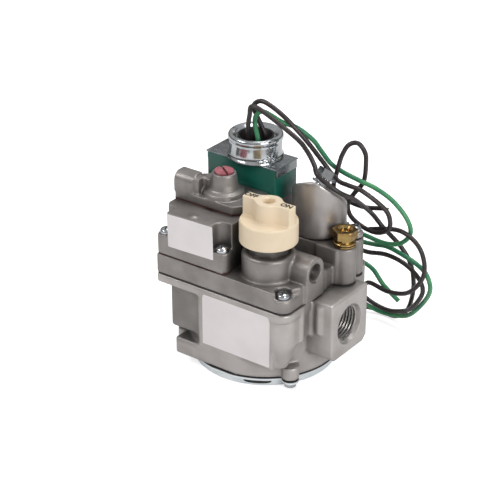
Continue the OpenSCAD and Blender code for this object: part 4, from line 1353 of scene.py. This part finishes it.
@dataclass
class PilotOutlet:
    """The brass pilot fitting and its nut."""

    deck: float = 11.0
    bore: float = 1.6
    flats: float = 12.0
    tube_bore: float = 3.2

    def build(self) -> None:
        """Fitting first, then the nut over it."""
        nut_box = Box.of("pilot_nut")
        fitting = Box.of("pilot_fitting")
        centre = nut_box.middle
        top = fitting.size.z / MM
        deck, bore = self.deck, self.bore
        body = turned([(bore, 0), (3.6, 0), (3.98, 0.4), (3.98, deck), (5.6, deck), (6.0, deck + 0.4),
                       (6.0, deck + 1.0), (5.0, deck + 1.3), (6.0, deck + 1.7), (6.0, deck + 2.2),
                       (5.6, deck + 2.6), (4.5, deck + 2.6), (4.5, top - 0.3), (4.2, top), (bore + 0.3, top),
                       (bore, top - 0.3)], "pilot_body")
        place(body, Vector((centre.x, centre.y, fitting.low.z)))
        smooth(body, 30)
        finish_piece(body, BRASS, "housing", ("pilot_fitting",))
        height = nut_box.size.z / MM
        sink = ((self.tube_bore, height - 1.1), (self.tube_bore + 1.4, height + 0.3))
        nut = HexNut(self.flats, height, self.tube_bore, sink, (4.5, 2.6), 48).build("pilot_hex")
        place(nut, nut_box.foot)
        smooth(nut, 30)
        finish_piece(nut, BRASS, "housing", ("pilot_nut",))


@dataclass
class CoupleFitting:
    """The bright thermocouple fitting on the slope of the dome."""

    lean: Corner = (0.225, 0.558, 0.799)
    nut_rise: float = 6.25
    nut_foot: float = 4.0
    flats: float = 10.0
    nut_h: float = 4.5
    outline: tuple[Turn, ...] = (
        (2.2, -2), (3.38, -5.4), (3.38, 0), (5.6, 0), (5.9, 0.4), (5.6, 1.2), (4.6, 1.4), (4.6, 2.2),
        (3.38, 2.4), (3.38, 5.7), (3.1, 6.0), (2.2, 6.0),
    )

    def build(self) -> None:
        """Collar, washer, hexagon nut and the rim of its socket."""
        way = Vector(self.lean).normalized()
        base = Box.of("couple_nut").middle - way * self.nut_rise * MM
        body = turned(self.outline, "couple_body", 60)
        place(body, base, way)
        smooth(body, 30)
        finish_piece(body, ZINC, "housing", ("couple_socket",))
        sink = ((2.2, self.nut_h - 0.9), (3.6, self.nut_h + 0.3))
        nut = HexNut(self.flats, self.nut_h, 2.2, sink, (3.4, 2.0), 40).build("couple_hex")
        place(nut, base + way * self.nut_foot * MM, way)
        smooth(nut, 30)
        finish_piece(nut, ZINC, "housing", ("couple_nut",))


@dataclass
class SealCap:
    """The slotted red cap on the spring tower."""

    plug_r: float = 4.8
    head_r: float = 5.2
    plug_h: float = 1.6
    slot_w: float = 1.4
    slot_depth: float = 1.3
    slot_turn: float = -35.0

    def build(self) -> None:
        """A low disc with a rounded rim and a slot."""
        box = Box.of("seal_cap")
        height = box.size.z / MM
        cap = turned([(0, 0), (self.plug_r, 0), (self.plug_r + 0.04, self.plug_h), (self.head_r, self.plug_h),
                      (self.head_r, height - 0.35), (self.head_r - 0.3, height - 0.05),
                      (self.head_r - 0.7, height), (0, height)], "cap_disc")
        carve(cap, soft_slab((-8, -self.slot_w / 2, height - self.slot_depth),
                             (8, self.slot_w / 2, height + 1), 0, self.slot_turn))
        place(cap, box.foot)
        smooth(cap, 30)
        finish_piece(cap, RED_CAP, "seal_cap", ("seal_cap",))


@dataclass
class Knob:
    """The cream knob: round skirt, grip bar with a bored hub, and its lettering."""

    voxel: float = 0.32
    rounds: int = 3
    hub_r: float = 7.2
    wing_half: float = 3.0
    grip_h: float = 10.3
    cove_r: float = 5.5
    cove_steps: int = 12
    letter_h: float = 4.455
    letter_rise: float = 0.18
    letter_bold: float = 0.07
    words: tuple[tuple[str, float], ...] = (("OFF", -11.2), ("ON", 10.9))

    def build(self) -> None:
        """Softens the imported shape, then stands the letters on the wings."""
        box = Box.of("knob")
        copy = welded_copy("knob", "knob_cream")
        coves = [self.cove(box, side, face) for side in (-1, 1) for face in (-1, 1)]
        piece = softened(copy, coves, self.voxel, self.rounds)
        smooth(piece, 180)
        finish_piece(piece, CREAM, "knob", ("knob",))
        for word, offset in self.words:
            self.letters(word, offset, box)

    def cove(self, box: Box, side: int, face: int) -> Object:
        """The hollow corner between the hub and one face of a wing.

        Args:
            box: the knob's box.
            side: 1 for the right wing, -1 for the left one.
            face: 1 for the wing's back face, -1 for its front face.

        Returns:
            The shape that fills the corner.
        """
        hub_r, half, reach = self.hub_r, self.wing_half, self.cove_r
        centre = (math.sqrt((hub_r + reach) ** 2 - (half + reach) ** 2), half + reach)
        touch = math.atan2(centre[1], centre[0])
        start, stop = math.radians(270), math.pi + touch
        arc = [start + (stop - start) * i / (self.cove_steps - 1) for i in range(self.cove_steps)]
        outline = [(2.0, half - 1.0), (centre[0] + 1.0, half - 1.0), (centre[0] + 1.0, half)]
        outline += [(centre[0] + reach * math.cos(a), centre[1] + reach * math.sin(a)) for a in arc]
        outline.append(((hub_r - 1) * math.cos(touch), (hub_r - 1) * math.sin(touch)))
        bpy.ops.mesh.primitive_circle_add(vertices=len(outline), radius=1 * MM, fill_type="NGON")
        web = bpy.context.object
        for vertex, (x, y) in zip(web.data.vertices, outline):
            vertex.co = (side * x * MM, face * y * MM, 0)
        tall = (self.grip_h + 1) * MM
        begin_edit(web)
        bpy.ops.mesh.select_all(action="SELECT")
        bpy.ops.mesh.extrude_region_move(TRANSFORM_OT_translate={"value": (0, 0, tall)})
        face_outwards()
        end_edit()
        return place(web, Vector((box.middle.x, box.middle.y, box.high.z - tall)))

    def letters(self, word: str, offset: float, box: Box) -> None:
        """One black word on the top of a wing.

        Args:
            word: the letters.
            offset: how far right of the knob's middle they stand, in millimetres.
            box: the knob's box.
        """
        bpy.ops.object.text_add(location=(0, 0, 0))
        text = bpy.context.object
        text.data.body = word
        text.data.size = self.letter_h * MM
        text.data.align_x = "CENTER"
        text.data.align_y = "CENTER"
        text.data.extrude = self.letter_rise * MM
        text.data.offset = self.letter_bold * MM
        text.data.resolution_u = 3
        activate(text)
        bpy.ops.object.convert(target="MESH")
        mark = bpy.context.object
        mark.name = "knob_word_" + word.lower()
        place(mark, Vector((box.middle.x + offset * MM, box.middle.y, box.high.z)))
        finish_piece(mark, INK, "knob")


@dataclass
class CoilHousing:
    """The green coil box, its zinc top plate, the conduit hub and the dark insert in it."""

    corner: float = 0.8
    sheet: float = 0.8
    tab_in: float = 1.0
    rivet_in: tuple[float, float] = (4.0, 3.4)
    rivet: tuple[Turn, ...] = ((0, -0.2), (1.3, -0.2), (1.3, 0.15), (1.0, 0.45), (0, 0.55))
    lead_hole_r: float = 7.2
    hub_wall: float = 9.7
    rim_r: float = 15.0
    roll_r: float = 1.6
    hub_outside: tuple[Turn, ...] = (
        (9.7, 0), (15.3, 0), (15.5, 0.3), (15.3, 0.9), (14.8, 1.4), (14.35, 2.2), (14.3, 4.4),
        (14.3, 8.4), (14.38, 8.7), (14.3, 9.0), (14.35, 9.8), (14.7, 10.2), (15.0, 10.7),
    )
    grooves: int = 8
    groove_low: float = 2.8
    groove_top: float = 2.2
    bumps: tuple[tuple[float, float], ...] = ((-12, 3.2), (-24, 4.4), (-36, 3.4), (-48, 2.6))
    bump_reach: float = 14.1
    clip_at: tuple[float, float] = (-11.6, -4.4)

    def build(self) -> None:
        """Box, plate, hub and insert, from the bottom up."""
        self.box()
        self.plate()
        self.hub()
        self.insert()

    def box(self) -> None:
        """An open sheet box with rounded bends."""
        shape = Box.of("coil_box")
        shell = slab(shape.low, shape.high)
        begin_edit(shell)
        pick_edges(shell, lambda a, b: abs(a.z - b.z) > 5 * MM)
        bpy.ops.mesh.bevel(offset=self.corner * MM, segments=4)
        pick_faces(shell, lambda c, n: n.z > 0.9)
        bpy.ops.mesh.inset(thickness=self.sheet * MM)
        bpy.ops.mesh.extrude_region_move(
            TRANSFORM_OT_translate={"value": (0, 0, self.sheet * MM - shape.size.z)})
        end_edit()
        smooth(shell, 40)
        shell.name = "coil_case"
        finish_piece(shell, GREEN_PAINT, "housing", ("coil_box",))

    def plate(self) -> None:
        """The top plate with a folded tab at each end and two rivets."""
        shape = Box.of("top_plate")
        base = Box.of("coil_box").high.z
        parts = [slab(Vector((shape.low.x, shape.low.y, base)), shape.high)]
        for end, way in ((shape.low.x, 1), (shape.high.x, -1)):
            inner = end + way * self.sheet * MM
            parts.append(slab(Vector((min(end, inner), shape.low.y + self.tab_in * MM, shape.low.z)),
                              Vector((max(end, inner), shape.high.y - self.tab_in * MM,
                                      (base + shape.high.z) / 2))))
        for part in parts:
            modify(part, "BEVEL", width=0.3 * MM, segments=3, limit_method="ANGLE")
        in_x, in_y = self.rivet_in
        for x in (shape.low.x + in_x * MM, shape.high.x - in_x * MM):
            head = turned(self.rivet, "rivet", 24)
            parts.append(place(head, Vector((x, shape.low.y + in_y * MM, shape.high.z))))
        piece = join(parts, "coil_lid")
        hub = Box.of("conduit_hub").middle
        carve(piece, place(rod(self.lead_hole_r, -3, 3, 48), Vector((hub.x, hub.y, shape.high.z))))
        smooth(piece, 35)
        finish_piece(piece, ZINC_SATIN, "housing", ("top_plate",))

    def hub(self) -> None:
        """The conduit hub: flared foot, rolled rim with a sloping lip, grooves inside, bumps and a clip."""
        shape = Box.of("conduit_hub")
        height = shape.size.z / MM
        rim, roll, wall = self.rim_r, self.roll_r, self.hub_wall
        rolled = [(rim - roll + roll * math.cos(a), height - roll + roll * math.sin(a))
                  for a in (math.radians(d) for d in range(0, 91, 15))]
        profile = [*self.hub_outside, *rolled, (12.8, height - 0.15), (wall + 0.5, height - 1.0),
                   (wall + 0.1, height - 1.4)]
        high = height - self.groove_top
        pitch = (high - self.groove_low) / self.grooves
        for i in range(self.grooves):
            at = high - pitch * i
            profile += [(wall, at), (wall + 0.35, at - pitch / 2)]
        parts = [place(turned(profile, "hub_turned", 96), shape.foot)]
        for turn, tall in self.bumps:
            side = Vector((math.cos(math.radians(turn)), math.sin(math.radians(turn)), 0))
            bump = soft_slab((-1.0, -1.1, 0), (1.2, 1.1, tall), 0.5, turn)
            foot = shape.foot + side * self.bump_reach * MM
            parts.append(place(bump, foot))
        clip = soft_slab((-1.5, -2.6, -1.5), (1.5, 2.6, 0.0), 0.45, 18)
        parts.append(place(clip, Vector((shape.middle.x + self.clip_at[0] * MM,
                                         shape.middle.y + self.clip_at[1] * MM, shape.high.z))))
        piece = join(parts, "hub_turned")
        smooth(piece, 35)
        finish_piece(piece, ZINC, "housing", ("conduit_hub",))

    def insert(self) -> None:
        """The dark insert that the leads come through, and a dark sleeve above it that paints the shade
        inside the hub.
        """
        shape = Box.of("lead_bushing")
        height = shape.size.z / MM
        radius = shape.size.x / 2 / MM
        foot = shape.foot
        disc = turned([(0, 0), (radius, 0), (radius, height - 0.1), (radius - 0.6, height),
                       (radius - 1.2, height - 0.5), (radius - 2.2, height - 0.9), (3.0, height - 0.9),
                       (0, height - 0.7)], "lead_insert")
        place(disc, foot)
        smooth(disc, 40)
        finish_piece(disc, BUSHING, "housing", ("lead_bushing",))
        # painted shade: a dark lining over the hub's inner wall above the insert, where the hub lies in shade
        rim = (Box.of("conduit_hub").high.z - shape.low.z) / MM
        shade_sleeve = turned([(8.9, height), (radius - 0.05, height), (radius - 0.05, rim - 1.5), (9.3, rim - 1.5),
                         (8.9, rim - 2.0)], "hub_shade_sleeve", 64)
        place(shade_sleeve, foot)
        smooth(shade_sleeve, 40)
        finish_piece(shade_sleeve, BUSHING, "housing")


@dataclass
class BottomDish:
    """A dark strip of painted shade where the vent opens in the side of the pressed bottom plate."""

    vent_turn: float = -60.5
    vent_half: float = 11.0
    vent_r: float = 40.06
    vent_z: float = 3.1
    vent_h: float = 1.3
    vent_t: float = 0.3

    def build(self) -> None:
        """A lens-shaped strip bent round the dish."""
        bpy.ops.mesh.primitive_grid_add(x_subdivisions=24, y_subdivisions=3, size=1)
        strip = bpy.context.object
        for vertex in strip.data.vertices:
            along, up = vertex.co.x * 2, vertex.co.y * 2
            swell = math.sqrt(max(0.0, 1 - abs(along) ** 3))
            turn = math.radians(self.vent_turn + along * self.vent_half)
            height = self.vent_z + up * self.vent_h * swell
            vertex.co = (self.vent_r * MM * math.cos(turn), self.vent_r * MM * math.sin(turn), height * MM)
        # painted shade: the black strip stands for the shade inside the vent opening
        modify(strip, "SOLIDIFY", thickness=self.vent_t * MM, offset=0.0)
        settle(strip, "dish_vent_shade")
        smooth(strip, 60)
        finish_piece(strip, RUBBER, "housing")


@dataclass
class Labels:
    """Bare label plates with rounded corners."""

    corner: float = 0.5
    nodes: tuple[str, ...] = ("rating_label", "notice_label")

    def build(self) -> None:
        """One thin rounded plate for each label node."""
        for node in self.nodes:
            piece = welded_copy(node, node + "_plate")
            begin_edit(piece)
            bpy.ops.mesh.select_all(action="SELECT")
            bpy.ops.mesh.dissolve_limited(angle_limit=math.radians(1))
            pick_edges(piece, lambda a, b: abs((a - b).y) > 0.1 * MM and (a - b).length < 1 * MM)
            bpy.ops.mesh.bevel(offset=self.corner * MM, segments=4)
            end_edit()
            smooth(piece, 30)
            finish_piece(piece, PAPER, "housing", (node,))


def main() -> None:
    """Builds the studio and every sub-assembly."""
    logging.basicConfig(level=logging.INFO, format="%(name)s: %(message)s")
    Studio().build()
    dress_nodes()
    give_way()
    sub_assemblies = (
        *LEADS,
        Castings(),
        Knob(),
        CoilHousing(),
        SealCap(),
        PilotOutlet(),
        CoupleFitting(),
        *(PanScrews(node) for node in ("corner_screws", "regulator_screws", "dome_screws")),
        PanScrews("cover_bolts", recess=1.6, recess_depth=1.0, height=1.8),
        PortThread("outlet_thread", "outlet", 1.81, 0.95, 1.1, THREAD, "body_casting"),
        PortThread("inlet_thread", "inlet", 1.81, 0.95, 1.1, THREAD, "body_casting"),
        PortThread("tap_thread", "pressure_tap", 0.94, 0.5, 0.45, THREAD_SHADED, "upper_casting"),
        BottomDish(),
        Labels(),
    )
    for sub_assembly in sub_assemblies:
        sub_assembly.build()
        log.info("%s is built", type(sub_assembly).__name__)


if __name__ == "__main__":
    main()
